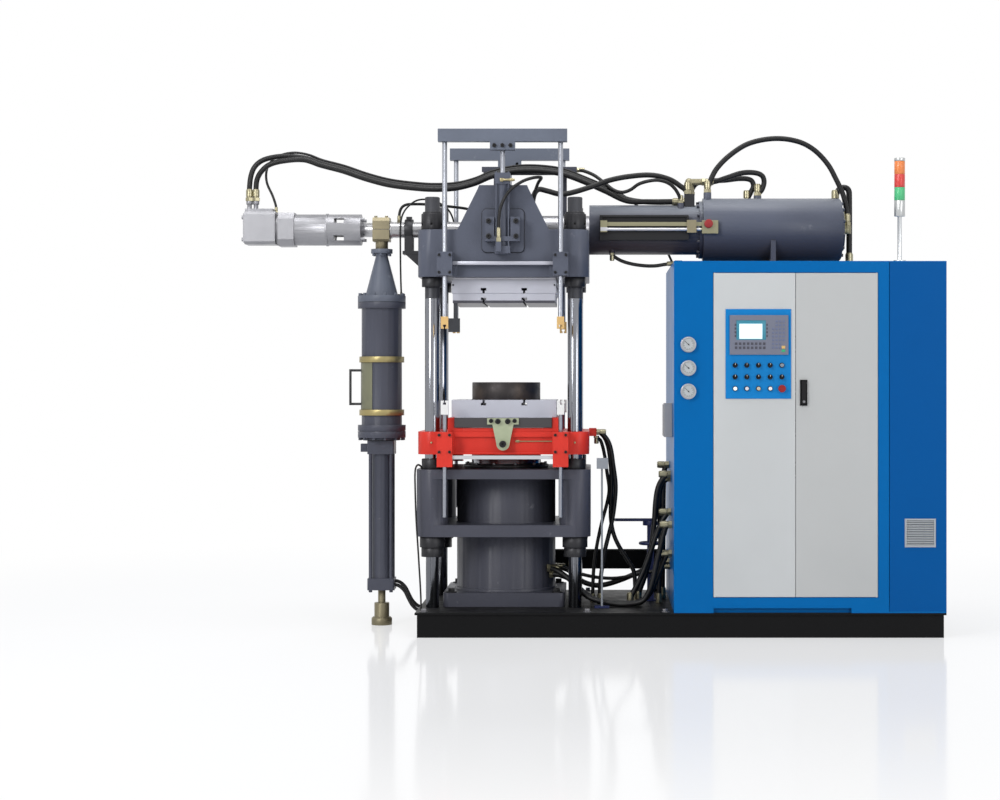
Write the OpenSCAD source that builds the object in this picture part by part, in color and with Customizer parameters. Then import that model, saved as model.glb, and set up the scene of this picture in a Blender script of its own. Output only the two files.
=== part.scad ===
// Horizontal-injection rubber moulding press, in millimetres.
// Four-column vertical clamp, extruder and stuffer on the left, control cabinet on the right.
// Origin: on the floor under the axis of the clamp. X runs right, Y runs back, Z runs up.

/* [Base frame] */
// Reach of the base to the left of the clamp axis
base_left = 465; // [450:5:520]
// Depth of the base, front to back
base_dep = 1300; // [1250:10:1500]
// Height of the base
base_h = 134; // [110:1:180]
// Thickness of the deck plate
deck_t = 12; // [8:1:20]
// Set-back of the skirt under the edge of the deck plate
base_step = 12; // [5:1:20]

/* [Clamp] */
// Diameter of the tie columns
col_d = 82; // [70:1:95]
// Diameter of the turned-down column legs
leg_d = 72; // [50:1:80]
// Column spacing, left to right
col_sx = 784; // [760:2:860]
// Column spacing, front to back
col_sy = 690; // [660:2:760]
// Length of column above the top nuts
col_stub = 82; // [40:1:120]
// Diameter of the top nuts of the columns
nut_d = 122; // [100:1:140]
// Height of the top nuts of the columns
nut_h = 100; // [60:1:120]
// Diameter of the clamp ram
ram_d = 390; // [340:2:420]
// Outside diameter of the clamp cylinder
cyl_d = 556; // [500:2:570]
// Floor thickness of the clamp cylinder
cyl_floor = 60; // [40:1:90]
// Half width of the foot plate of the clamp cylinder
foot_hx = 336; // [300:1:345]
// Thickness of the foot plate of the clamp cylinder
foot_t = 76; // [50:1:100]
// Height of the underside of the lower bed
bed_z = 525; // [480:1:560]
// Height of the lower bed
bed_h = 368; // [340:1:420]
// Thickness of the top plate of the lower bed
bed_top_t = 52; // [40:1:70]
// Thickness of the bottom plate of the lower bed
bed_low_t = 64; // [40:1:80]
// Radius of the column sleeves of the lower bed
bed_boss = 86; // [78:1:95]
// Height of the moving beam above the bed, clamp open
beam_gap = 83; // [75:1:110]
// Height of the moving beam
beam_h = 124; // [110:1:160]
// Height of the underside of the upper head
head_z = 1947; // [1930:1:2050]
// Height of the upper head
head_h = 259; // [240:1:300]
// Radius of the column sleeves of the head and of the moving beam
head_boss = 78; // [70:1:90]
// Height of the head's triangular webs
web_h = 243; // [200:1:280]
// Thickness of the head's triangular webs
web_t = 40; // [25:1:60]
// Half width of the webs at the head
web_hx = 250; // [220:1:280]
// Half width of the webs at their top
web_top_hx = 131; // [110:1:160]
// Height of the recess along the lower edge of the head
head_rec_h = 76; // [50:1:80]

/* [Platens] */
// Width of the heated platens
platen_w = 576; // [520:2:580]
// Depth of the heated platens
platen_dep = 650; // [600:2:700]
// Thickness of the upper heated platen
upper_platen_t = 75; // [60:1:100]
// Thickness of the upper mould plate
upper_plate_t = 53; // [40:1:70]
// Thickness of the heat insulation board
board_t = 12; // [8:1:20]
// Thickness of the lower heated platen
lower_platen_t = 96; // [70:1:110]
// Distance between the tee slots of the platens
slot_pitch = 224; // [180:2:280]
// Mouth width of the tee slots
slot_w = 12; // [10:1:18]
// Width of the undercut of the tee slots
slot_bar = 30; // [22:1:36]
// Depth of the tee slots
slot_dep = 30; // [24:1:34]
// Diameter of the round mould
mould_d = 385; // [300:5:420]
// Height of the round mould
mould_h = 98; // [60:1:110]
// Thickness of the sliding carriage plate
carriage_t = 55; // [40:1:70]
// Half width of the sliding carriage plate
carriage_hx = 266; // [240:1:270]
// Thickness of the feet of the slide rails
rail_foot = 22; // [16:1:30]
// Width of the walls of the slide rails
rail_w = 36; // [25:1:40]

/* [Lift gear] */
// Distance of the lift rods from the clamp axis, front to back
lift_y = 480; // [470:1:520]
// Distance of the lift rods from the clamp axis, left to right
lift_x = 315; // [312:1:325]
// Length of the crossbars
bar_len = 702; // [680:2:760]
// Height of the crossbars
bar_h = 69; // [50:1:80]
// Height of the underside of the crossbars
bar_z = 2677; // [2640:1:2740]
// Depth of the crossbars
bar_dep = 56; // [40:1:70]
// Diameter of the upper lift rods
rod_d = 27; // [22:1:32]
// Diameter of the lower lift rods
low_rod_d = 22; // [18:1:26]
// Height of the underside of the upper latches
latch_z = 1661; // [1655:1:1700]
// Height of the upper latches
latch_h = 66; // [50:1:80]
// Width of the latches
latch_w = 40; // [34:1:42]
// Height of the underside of the lower rods
low_rod_z = 636; // [600:1:700]
// Side of the square heads of the lift cylinders
lift_cyl = 84; // [76:1:88]
// Diameter of the piston rods of the lift cylinders
lift_rod_d = 25; // [20:1:30]

/* [Injection line] */
// Height of the common axis of extruder and injection cylinder
inj_z = 2233; // [2225:1:2300]
// Radius of the extruder barrel
barrel_r = 40.5; // [36:0.5:44]
// Radius of the front neck of the injection cylinder
neck_r = 80; // [70:1:90]
// Radius of the injection cylinder
inj_r = 140; // [120:1:150]
// Length of the injection cylinder outside the head
inj_len = 640; // [600:5:680]
// Radius of the drive housing behind the injection cylinder
house_r = 178; // [165:1:182]
// Length of the drive housing
house_len = 780; // [700:5:840]
// Distance of the extruder's end flange from the clamp axis
flange_x = 819; // [800:1:860]
// Radius of the extruder gearbox
gear_r = 88; // [80:1:95]

/* [Stuffer] */
// Distance of the stuffer axis from the clamp axis
stuffer_x = 705; // [690:1:720]
// Outside radius of the stuffer barrel
stuffer_r = 113.5; // [100:0.5:120]
// Wall of the stuffer barrel
stuffer_wall = 13; // [9:1:18]
// Radius of the stuffer flanges
stuffer_flange_r = 135; // [130:1:142]
// Thickness of each stuffer flange
stuffer_flange_t = 36; // [28:1:44]
// Height of the lower end of the stuffer barrel
stuffer_z = 1058; // [1040:1:1080]
// Length of the stuffer barrel
stuffer_len = 766; // [740:1:780]
// Height of the two brass bands
band_h = 33; // [24:1:40]
// Height of the lower band
band_z = 1184; // [1160:1:1200]
// Distance between the bands
band_pitch = 299; // [260:1:320]
// Thickness of the loading shutter
shutter_t = 4; // [3:0.5:6]
// Side of the square heads of the stuffer cylinder
ram_head = 150; // [140:1:158]
// Radius of the tube of the stuffer cylinder
ram_tube_r = 56; // [52:1:62]

/* [Cabinet] */
// Distance of the cabinet's left side from the clamp axis
cab_x = 925; // [915:5:940]
// Height of the injection line above the cabinet roof
roof_drop = 213; // [200:1:240]
// Width of the post between the right door and the service panel
post_w = 61; // [40:1:90]
// Thickness of the cabinet sheet
cab_wall = 4; // [3:0.5:6]
// Gap between the back of the cabinet and the back of the base
cab_back = 40; // [10:5:80]
// Left edge of the door opening, from the cabinet's left side
door_x = 212; // [205:1:240]
// Width of each door
door_w = 438; // [400:1:440]
// Height of the band between the doors and the roof
roof_band = 65; // [50:1:150]
// Height of the lower edge of the doors above the base
door_z = 86; // [80:1:120]
// Thickness of the doors
door_t = 20; // [16:1:26]
// Running gap round the doors
door_gap = 3; // [2:0.5:4]
// Width of the service panel at the right
service_w = 308; // [290:1:310]

/* [Controls] */
// Width of the control panel
panel_w = 351; // [340:1:380]
// Height of the control panel
panel_h = 480; // [470:1:520]
// Distance of the control panel from the left edge of its door
panel_dx = 64; // [30:1:66]
// Height of the control panel's lower edge above the door's lower edge
panel_dz = 1062; // [900:1:1100]
// Spacing of the knobs and buttons
knob_pitch = 62.5; // [58:0.5:66]
// Diameter of the selector knobs
knob_d = 27; // [22:1:32]
// Travel of the push buttons
button_stroke = 5; // [3:0.5:8]
// Diameter of the pressure gauges
gauge_d = 84; // [60:1:100]

/* [Hidden] */
$fn = 48;

// Clearances: between still pieces, between running pieces and under sliding ones
fit_gap = 0.3;
run_gap = 0.08;

// Heights stacked from the deck upwards
bed_top = bed_z + bed_h;
beam_z = bed_top + beam_gap;
beam_top = beam_z + beam_h;
carriage_z = beam_top + rail_foot + fit_gap;
lower_platen_z = carriage_z + carriage_t;
mould_z = lower_platen_z + lower_platen_t;
upper_platen_z = head_z - board_t - upper_platen_t;
upper_plate_z = upper_platen_z - upper_plate_t;
head_top = head_z + head_h;
col_top = head_top + nut_h + col_stub;
low_latch_z = lower_platen_z + 17;

// Half sizes of head, beam and bed
col_x = col_sx / 2;
col_y = col_sy / 2;
head_hx = col_x + head_boss;
head_hy = col_y + head_boss;
bed_hx = col_x + bed_boss;
bed_hy = col_y + bed_boss;
carriage_hy = head_hy + 8;

// Black nuts under the head, on the bed and under the bed
low_nut_h = 53;
bed_nut_h = 58;
under_nut_h = 60;
end_nut_h = 52;
gland_h = 24;

// Lift cylinders and their guide blocks
lift_top = head_top + 300;
lift_low = head_top - 137;
lift_head_t = 40;
lift_cap_t = 60;
guide_w = 84;
guide_h = 129;
guide_z = head_z + 3;
hanger_h = 45;
hanger_w = 136;

// Places along the injection line
house_x = head_hx + inj_len;
neck_in = 100;
nozzle_r = 42;
runner_r = 8;
lantern_len = 64;
gear_x = flange_x + 89 + lantern_len;
gearbox_len = 221;
motor_x = gear_x + gearbox_len + 112;
sleeve_r = 45;
feed_w = 95;
feed_up = 68;
feed_down = 67;
feed_neck_r = 35.5;
clamp_x = 573;
clamp_w = 47;

// Stuffer heights
stuffer_top = stuffer_z + stuffer_len;
cone_top = inj_z - feed_down - 42;
cone_top_t = 24;
cone_neck_r = 31;
ram_low_z = 200;
ram_low_t = 65;
ram_top_t = 78;
foot_pad_h = 45;
foot_nut_h = 80;
ram_rod_r = 22.5;

// Cabinet
cab_w = door_x + 2 * door_w + door_gap + post_w + service_w;
cab_front = -base_dep / 2;
cab_dep = base_dep - cab_back;
cab_top = inj_z - roof_drop;
cab_in_x = cab_x + 60;
tank_y = cab_front + 390;
plate_y = cab_front + 330;
left_door_x = cab_x + door_x;
mid_door_x = left_door_x + door_w + door_gap;
right_door_x = mid_door_x + door_w;
sill_z = base_h + door_z;
door_h = cab_top - sill_z - roof_band;
pin_r = 4;
pin_in = 6;
pin_len = 16;
panel_x = left_door_x + panel_dx;
panel_z = sill_z + panel_dz;
panel_t = 5;
knob_x = panel_x + 51;
knob_z = panel_z + 54;
handle_x = mid_door_x + 22;
handle_w = 38;
handle_z = sill_z + 1025;
handle_h = 138;
handle_pin_r = 7;
handle_pin_z = handle_z + handle_h - 24;
gauge_x = cab_x + 77;
gauge_z = [1321, 1446, 1572];
beacon_x = cab_x + cab_w - 239;
beacon_y = cab_front + 88;
service_x = cab_x + cab_w - service_w;

// Routes of the hoses
hose_r = 15;
thin_r = 7;
motor_route_a = [[-1454, 0, 2396], [-1454, 0, 2470], [-1446, 2, 2540], [-1425, 6, 2592],
    [-1382, 8, 2628], [-1310, 12, 2648], [-1237, 15, 2652], [-1140, 18, 2642], [-1050, 20, 2613],
    [-921, 22, 2579], [-795, 24, 2536], [-665, 26, 2502], [-537, 28, 2485], [-418, 30, 2477],
    [-290, 30, 2483], [-180, 30, 2510], [-84, 30, 2550], [40, 30, 2578], [174, 30, 2582],
    [313, 30, 2564], [434, 30, 2522], [563, 30, 2465], [680, 30, 2412], [800, 30, 2394],
    [1006, 30, 2394]];
motor_route_b = concat([[-1417, 0, 2396], [-1417, 0, 2470], [-1410, -4, 2520], [-1385, -12, 2563],
    [-1338, -20, 2601], [-1253, -26, 2622]],
    [for (i = [7:22]) motor_route_a[i] + [0, -45, -15]], [[800, -15, 2392], [1006, -30, 2392]]);
motor_cable = concat([[-1306, 20, 2333], [-1308, 24, 2370], [-1328, 30, 2430], [-1360, 38, 2500],
    [-1366, 44, 2560], [-1348, 48, 2615], [-1300, 50, 2656], [-1216, 48, 2676], [-1130, 46, 2665]],
    [for (i = [8:19]) motor_route_a[i] + [0, 26, 22]], [[434, 74, 2544], [563, 96, 2490],
    [680, 130, 2430], [780, 170, 2350], [860, 200, 2230], [920, 215, 2120], [955, 220, 2020]]);
house_route = [[1136, -45, 2440], [1150, -44, 2500], [1190, -38, 2578], [1270, -28, 2658],
    [1375, -18, 2722], [1520, -8, 2750], [1650, -3, 2734], [1740, -2, 2688],
    [1820, 0, 2605], [1872, 0, 2510], [1904, 0, 2440], [1920, 0, 2380], [1928, 0, 2310],
    [1928, 0, 2257]];
valve_route = [[1106, 0, 2505], [1180, 2, 2508], [1250, 6, 2530], [1330, 12, 2556],
    [1400, 20, 2560], [1448, 28, 2545], [1462, 34, 2510], [1450, 38, 2465], [1425, 40, 2430]];
valve_route_b = [[1048, 38, 2432], [1054, 38, 2470], [1082, 40, 2502], [1140, 46, 2514],
    [1240, 52, 2520], [1330, 58, 2530], [1388, 64, 2522], [1404, 68, 2490], [1388, 70, 2450],
    [1366, 70, 2396]];
head_route = [[150, -250, 2206], [152, -245, 2300], [160, -220, 2400], [185, -180, 2445],
    [235, -155, 2440], [300, -135, 2425], [361, -122, 2431], [485, -100, 2470], [586, -85, 2507],
    [699, -70, 2530], [823, -55, 2538], [924, -42, 2515], [992, -42, 2472], [1012, -42, 2456],
    [1024, -42, 2432]];
shelf_route = [[398, 150, 2588], [440, 132, 2580], [500, 90, 2550], [560, 40, 2500],
    [610, -5, 2458], [655, -30, 2444], [700, -42, 2456], [750, -62, 2488], [812, -82, 2504],
    [868, -92, 2505], [924, -92, 2484], [965, -78, 2440], [985, -65, 2380]];
return_pipe = [[1948, 60, 2030], [1948, 60, 2440], [1943, 61, 2466], [1928, 64, 2478],
    [1908, 70, 2478], [1888, 78, 2464], [1876, 83, 2435], [1872, 84, 2390]];
gland_route = [[598, -60, 2100], [630, -60, 2066], [690, -62, 2042], [770, -66, 2028],
    [840, -74, 2026], [900, -86, 2034], [950, -95, 2037]];
clamp_route = [[-607, 0, 2278], [-606, 2, 2320], [-598, 6, 2352], [-580, 10, 2372],
    [-550, 14, 2380], [-440, 28, 2380], [-343, 46, 2372], [-214, 74, 2356], [-140, 100, 2326],
    [-95, 125, 2275], [-80, 140, 2206]];
probe_route = [[-300, 110, 2206], [-308, 104, 2300], [-345, 88, 2366], [-420, 52, 2404],
    [-500, 4, 2403], [-556, -34, 2360], [-585, -50, 2310], [-594, -54, 2250], [-595, -52, 2100],
    [-595, -30, 1960], [-595, 0, 1860]];
lift_route = [[-19, -540, 2130], [-19, -540, 2200], [-17, -540, 2265], [-3, -540, 2332],
    [40, -538, 2406], [106, -528, 2456], [160, -505, 2478], [200, -470, 2486], [208, -425, 2484],
    [190, -385, 2462], [168, -355, 2400], [150, -340, 2300], [145, -335, 2206]];
stuffer_route_a = [[-630, -25, 228], [-600, -25, 218], [-572, -25, 190], [-552, -25, 150],
    [-530, -25, 112], [-500, -25, 86], [-453, -25, 75]];
stuffer_route_b = [for (p = stuffer_route_a) p + [0, 50, p[0] < -452 ? 17 : 13]];
beam_route_a = [[510, -120, 1092], [550, -120, 1076], [585, -120, 1020], [605, -120, 905],
    [618, -118, 794], [612, -115, 690], [598, -112, 595], [575, -108, 500], [556, -105, 420],
    [540, -102, 320], [530, -100, 223], [530, -100, 134]];
beam_route_b = [[510, -80, 1092], [548, -80, 1070], [575, -78, 1010], [590, -76, 905],
    [595, -74, 794], [591, -72, 690], [592, -70, 600], [606, -66, 520], [636, -64, 450],
    [680, -62, 380], [719, -60, 310], [728, -60, 230], [728, -60, 134]];
beam_route_c = [[510, -60, 1070], [535, -48, 1040], [556, -40, 960], [570, -36, 860],
    [582, -34, 767], [570, -32, 690], [540, -30, 578], [511, -30, 440], [496, -30, 330],
    [490, -30, 220], [490, -30, 134]];
cabinet_route_a = [[925, -150, 857], [885, -150, 836], [856, -150, 785], [842, -150, 710],
    [834, -150, 597], [820, -150, 470], [802, -150, 365], [775, -150, 270], [750, -150, 200],
    [744, -150, 134]];
cabinet_route_b = [[925, -210, 650], [888, -210, 620], [850, -210, 540], [812, -210, 430],
    [775, -210, 330], [735, -210, 240], [706, -210, 185], [698, -210, 134]];
cabinet_route_c = [[925, -110, 830], [890, -108, 812], [868, -106, 760], [862, -104, 650],
    [868, -102, 500], [860, -100, 134]];
cabinet_route_d = [[925, 130, 900], [902, 130, 880], [894, 130, 800], [892, 130, 500],
    [888, 130, 134]];
deck_route_a = [[246, -150, 300], [300, -165, 296], [370, -195, 270], [440, -228, 205],
    [520, -250, 158], [600, -262, 149.5], [670, -275, 149.5], [740, -290, 156], [800, -308, 200],
    [850, -322, 310], [886, -330, 400], [904, -331, 424], [925, -332, 428]];
deck_route_b = [[234, -168, 335], [300, -205, 318], [380, -255, 262], [460, -290, 188],
    [560, -318, 159], [680, -340, 150], [780, -352, 185], [850, -366, 420], [888, -371, 570],
    [906, -372, 586], [925, -372, 590]];
deck_route_c = [[276, 30, 330], [400, 40, 288], [520, 46, 262], [640, 20, 262],
    [830, -30, 305], [925, -34, 330]];
deck_route_d = [[265, 84, 320], [350, 94, 300], [430, 98, 235], [520, 100, 212],
    [640, 104, 240], [850, 90, 330], [925, 70, 350]];
bed_cable = [[-445, -395, 893], [-452, -402, 912], [-468, -425, 918], [-478, -445, 890],
    [-478, -452, 800], [-472, -455, 620], [-458, -455, 400], [-446, -450, 134]];

// Shared shapes

module block(x0, x1, y0, y1, z0, z1) {
    translate([x0, y0, z0])
        cube([x1 - x0, y1 - y0, z1 - z0]);
}

module tube_z(r, z0, z1) {
    translate([0, 0, z0])
        cylinder(r = r, h = z1 - z0);
}

module tube_x(r, x0, x1) {
    translate([x0, 0, 0])
        rotate([0, 90, 0])
            cylinder(r = r, h = x1 - x0);
}

module tube_y(r, y0, y1) {
    translate([0, y0, 0])
        rotate([-90, 0, 0])
            cylinder(r = r, h = y1 - y0);
}

module corners(x, y) {
    for (sx = [-1, 1], sy = [-1, 1])
        translate([sx * x, sy * y, 0])
            children();
}

module ends(y) {
    for (s = [0, 1])
        mirror([0, s, 0])
            translate([0, y, 0])
                children();
}

module rounded(hx, hy, r) {
    square([2 * hx, 2 * (hy - r)], center = true);
    square([2 * (hx - r), 2 * hy], center = true);
    corners(hx - r, hy - r)
        circle(r);
}

module slab(hx, hy, r, z0, z1) {
    translate([0, 0, z0])
        linear_extrude(z1 - z0)
            rounded(hx, hy, r);
}

// A plate with rounded corners that stands in the XZ plane, its back at y1
module standing(hx, hz, r, y0, y1) {
    translate([0, y1, 0])
        rotate([90, 0, 0])
            linear_extrude(y1 - y0)
                rounded(hx, hz, r);
}

module column_bores(gap) {
    corners(col_x, col_y)
        tube_z(col_d / 2 + gap, 0, col_top);
}

// Tee slot along Y, its mouth at height 0 and its undercut above
module tee_slot(len) {
    bar_h = slot_dep * 0.45;
    block(-slot_w / 2, slot_w / 2, -len / 2, len / 2, -1, slot_dep - bar_h + 1);
    block(-slot_bar / 2, slot_bar / 2, -len / 2, len / 2, slot_dep - bar_h, slot_dep);
}

module tee_slots(z, up) {
    for (s = [-1, 1])
        translate([s * slot_pitch / 2, 0, z])
            scale_z(up)
                tee_slot(platen_dep + 2);
}

// Turns the children over when up is false
module scale_z(up) {
    if (up)
        children();
    else
        mirror([0, 0, 1])
            children();
}

function unit(v) = v / norm(v);
function square_to(v) = let (m = max([for (c = v) abs(c)])) [for (c = v) abs(c) == m ? sign(c) : 0];
function heading(p, i) = i == 0 ? square_to(p[1] - p[0]) :
    i == len(p) - 1 ? square_to(p[i] - p[i - 1]) : unit(p[i + 1] - p[i - 1]);
function carry(p, i, s) = i == len(p) ? [] :
    let (t = heading(p, i), n = unit(s - (s * t) * t))
    concat([n], carry(p, i + 1, n));

// Tube of radius r along the points p, with ends square to an axis
module hose(p, r) {
    m = 8;
    n = len(p);
    across = carry(p, 0, [0.1, 1, 0.05]);
    rings = [for (i = [0:n - 1], k = [0:m - 1])
        let (t = heading(p, i), a = 360 * k / m)
        p[i] + r * (cos(a) * across[i] + sin(a) * cross(t, across[i]))];
    walls = [for (i = [0:n - 2], k = [0:m - 1], h = [0, 1])
        let (a = i * m + k, b = i * m + (k + 1) % m)
        h == 0 ? [a, a + m, b + m] : [a, b + m, b]];
    polyhedron(rings, concat(walls, [[for (k = [0:m - 1]) k]],
        [[for (k = [0:m - 1]) n * m - 1 - k]]));
}

// Base

// Closed box section with its deck plate standing proud of the skirt
module base_frame() {
    x0 = -base_left;
    x1 = cab_x + cab_w;
    hy = base_dep / 2;
    color([0.11, 0.11, 0.12]) {
        block(x0, x1, -hy, hy, base_h - deck_t, base_h);
        block(x0 + base_step, x1 - base_step, -hy + base_step, hy - base_step, 0,
            base_h - deck_t + 1);
    }
}

module main_cylinder() {
    z0 = base_h + foot_t;
    z1 = bed_top - bed_top_t;
    color([0.33, 0.34, 0.38])
        difference() {
            union() {
                slab(foot_hx, foot_hx, 30, base_h, z0);
                tube_z(cyl_d / 2 + 12, z0, z0 + 14);
                tube_z(cyl_d / 2, z0 + 14, z1);
            }
            tube_z(ram_d / 2 + run_gap, base_h + cyl_floor, z1 + 1);
            corners(foot_hx - 45, foot_hx - 45)
                tube_z(14, base_h - 1, z0 + 1);
        }
}

// Lower bed: two plates joined by four column sleeves and two side walls, open at front and back
module lower_bed() {
    low = bed_z + bed_low_t;
    high = bed_top - bed_top_t;
    wall = 36;
    color([0.35, 0.36, 0.40])
        difference() {
            union() {
                slab(bed_hx, bed_hy, bed_boss, bed_z, low);
                slab(bed_hx, bed_hy, bed_boss, high, bed_top);
                corners(col_x, col_y)
                    tube_z(bed_boss, low - 1, high + 1);
                for (s = [-1, 1])
                    translate([s * (bed_hx - wall / 2), 0, 0])
                        block(-wall / 2, wall / 2, -col_y, col_y, low - 1, high + 1);
            }
            column_bores(fit_gap);
            tube_z(cyl_d / 2 + fit_gap, bed_z - 1, low + 1);
            tube_z(ram_d / 2 + fit_gap, high - 1, bed_top + 1);
        }
}

module ram_gland() {
    color([0.13, 0.13, 0.14])
        difference() {
            union() {
                tube_z(ram_d / 2 + 44, bed_top, bed_top + gland_h - 8);
                tube_z(ram_d / 2 + 22, bed_top, bed_top + gland_h);
            }
            tube_z(ram_d / 2 + run_gap, bed_top - 1, bed_top + gland_h + 1);
        }
}

module tie_columns() {
    shoulder = bed_z - under_nut_h - end_nut_h;
    color([0.78, 0.79, 0.80])
        corners(col_x, col_y) {
            tube_z(leg_d / 2, base_h, shoulder + 1);
            tube_z(col_d / 2, shoulder, col_top - 4);
            translate([0, 0, col_top - 4])
                cylinder(r1 = col_d / 2, r2 = col_d / 2 - 4, h = 4);
        }
}

// Round slotted nut with spanner holes in its rim
module ring_nut(r, h, holes) {
    difference() {
        union() {
            tube_z(r, 0, h - 3);
            translate([0, 0, h - 3])
                cylinder(r1 = r, r2 = r - 3, h = 3);
        }
        tube_z(col_d / 2 + fit_gap, -1, h + 1);
        if (holes)
            for (a = [30:60:330])
                rotate([0, 0, a])
                    translate([0, 0, h * 0.35])
                        tube_x(7, r - 14, r + 1);
    }
}

module column_nuts() {
    color([0.16, 0.16, 0.17])
        corners(col_x, col_y) {
            translate([0, 0, head_top])
                ring_nut(nut_d / 2, nut_h * 0.9, true);
            translate([0, 0, head_top + nut_h * 0.9])
                ring_nut(nut_d / 2 - 8, nut_h * 0.1, false);
            translate([0, 0, head_z - low_nut_h])
                ring_nut(nut_d / 2 - 3, low_nut_h, false);
            translate([0, 0, bed_top])
                ring_nut(nut_d / 2 - 2, bed_nut_h, false);
            translate([0, 0, bed_z - under_nut_h])
                ring_nut(nut_d / 2 + 8, under_nut_h, false);
            translate([0, 0, bed_z - under_nut_h - end_nut_h])
                ring_nut(nut_d / 2, end_nut_h, false);
        }
}

// Upper head: a thick slab on the columns with two triangular webs on top,
// a long groove for the injection line and a recess along its lower front and back edges
module upper_head() {
    color([0.35, 0.36, 0.41])
        difference() {
            union() {
                slab(head_hx, head_hy, head_boss, head_z, head_top);
                ends(head_hy - web_t / 2)
                    translate([0, web_t / 2, head_top - 1])
                        rotate([90, 0, 0])
                            linear_extrude(web_t)
                                polygon([[-web_hx, 0], [web_hx, 0], [web_top_hx + 8, web_h - 20],
                                    [web_top_hx, web_h], [-web_top_hx, web_h],
                                    [-web_top_hx - 8, web_h - 20]]);
                ends(head_hy - 1)
                    translate([0, 0, head_top - 8])
                        standing(116, 119, 26, fit_gap - pad_t - 1, pad_t + 1 - fit_gap);
            }
            column_bores(fit_gap);
            translate([0, 0, inj_z]) {
                tube_x(sleeve_r + fit_gap, -head_hx - 1, neck_in + 1);
                tube_x(neck_r + fit_gap, neck_in, head_hx + 1);
                block(-head_hx - 1, neck_in, -sleeve_r - fit_gap, sleeve_r + fit_gap, 0, web_h);
                block(neck_in, head_hx + 1, -neck_r - fit_gap, neck_r + fit_gap, 0, web_h);
            }
            tube_z(nozzle_r + fit_gap, head_z - 1, head_top + 1);
            ends(head_hy)
                rotate([90, 0, 90])
                    translate([0, 0, -web_hx])
                        linear_extrude(2 * web_hx)
                            polygon([[-24, head_z - 1], [24, head_z - 1],
                                [24, head_z + head_rec_h + 34], [-24, head_z + head_rec_h - 14]]);
        }
}
pad_t = lift_y - lift_cyl / 2 - head_hy;

// Heated platen with the insulation board on its top, bored for the nozzle
module upper_heat_platen() {
    color([0.80, 0.80, 0.83])
        difference() {
            union() {
                block(-platen_w / 2, platen_w / 2, -platen_dep / 2, platen_dep / 2,
                    upper_platen_z, head_z - board_t);
                block(-platen_w / 2 + 4, platen_w / 2 - 4, -platen_dep / 2 + 4,
                    platen_dep / 2 - 4, head_z - board_t - 1, head_z);
            }
            tube_z(nozzle_r + fit_gap, head_z - board_t, head_z + 1);
            tube_z(runner_r, upper_platen_z - 1, head_z);
            tee_slots(upper_platen_z, true);
        }
}

// Mould plate with the hanging stop plate at its front left corner
module upper_mould_plate() {
    x0 = -platen_w / 2 + 6;
    y0 = -platen_dep / 2 + 6;
    color([0.78, 0.78, 0.81])
        difference() {
            union() {
                block(x0, -x0, y0, -y0, upper_plate_z, upper_platen_z);
                block(x0 + 4, x0 + 26, y0 + 4, y0 + 16, upper_plate_z - 120, upper_plate_z + 1);
                block(x0 - 24, x0 + 40, y0 - 4, y0 + 5, upper_plate_z - 160, upper_plate_z - 84);
            }
            tube_z(runner_r, upper_plate_z - 1, upper_platen_z + 1);
            tee_slots(upper_plate_z, true);
        }
}

// Square guide blocks of the lift rods, bolted to the front and back of the head
module head_guide_blocks() {
    color([0.35, 0.36, 0.41])
        for (sx = [-1, 1], sy = [-1, 1])
            difference() {
                translate([sx * lift_x, sy * (head_hy + lift_y + 26) / 2, guide_z + guide_h / 2])
                    cube([guide_w, lift_y + 26 - head_hy, guide_h], center = true);
                translate([sx * lift_x, sy * lift_y, 0])
                    tube_z(rod_d / 2 + run_gap, guide_z - 1, guide_z + guide_h + 1);
                for (bx = [-1, 1], bz = [0.12, 0.88])
                    translate([sx * lift_x + bx * (guide_w / 2 - 14), sy * (lift_y + 20),
                        guide_z + bz * guide_h])
                        tube_y(7, -8, 8);
            }
}

// Hydraulic cylinders on the webs: two square heads, a tube and four tie rods each
module lift_cylinders() {
    half = lift_cyl / 2;
    chamber = 24;
    color([0.36, 0.37, 0.42])
        ends(lift_y)
            difference() {
                union() {
                    block(-half, half, -half, half, lift_low, lift_low + lift_head_t);
                    block(-half, half, -half, half, lift_top - lift_cap_t, lift_top);
                    tube_z(chamber + 6, lift_low + 1, lift_top - 1);
                    corners(half - 9, half - 9)
                        tube_z(5, lift_low + 1, lift_top + 6);
                    block(-half - 52, half + 52, -half, half, lift_low + 66, lift_low + 92);
                    for (s = [-1, 1])
                        block(s * (half + 27) - 25, s * (half + 27) + 25, -half, half,
                            lift_low + 66, lift_low + 198);
                    block(-33, -5, half - 1, half + 30, lift_low + 8, lift_low + 61);
                }
                tube_z(chamber, lift_low + lift_head_t, lift_top - lift_cap_t);
                tube_z(lift_rod_d / 2 + run_gap, lift_top - lift_cap_t - 1, lift_top + 1);
                for (s = [-1, 1], z = [92, 174])
                    translate([s * (half + 32), 0, lift_low + z])
                        tube_y(9, -half - 1, half + 1);
            }
}

// Shelf on two posts behind the injection line, under the hoses of the drive
module hose_shelf() {
    z1 = head_top + 397;
    color([0.30, 0.31, 0.35]) {
        block(-145, 398, 110, 290, z1 - 4, z1);
        block(-145, 398, 110, 114, z1 - 31, z1 - 3);
        block(-145, 398, 286, 290, z1 - 31, z1 - 3);
        for (x = [-80, 300]) {
            block(x, x + 40, 180, 220, head_top, z1 - 3);
            block(x - 20, x + 60, 160, 240, head_top, head_top + 10);
        }
    }
}

// Extruder, its axis along X

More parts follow.
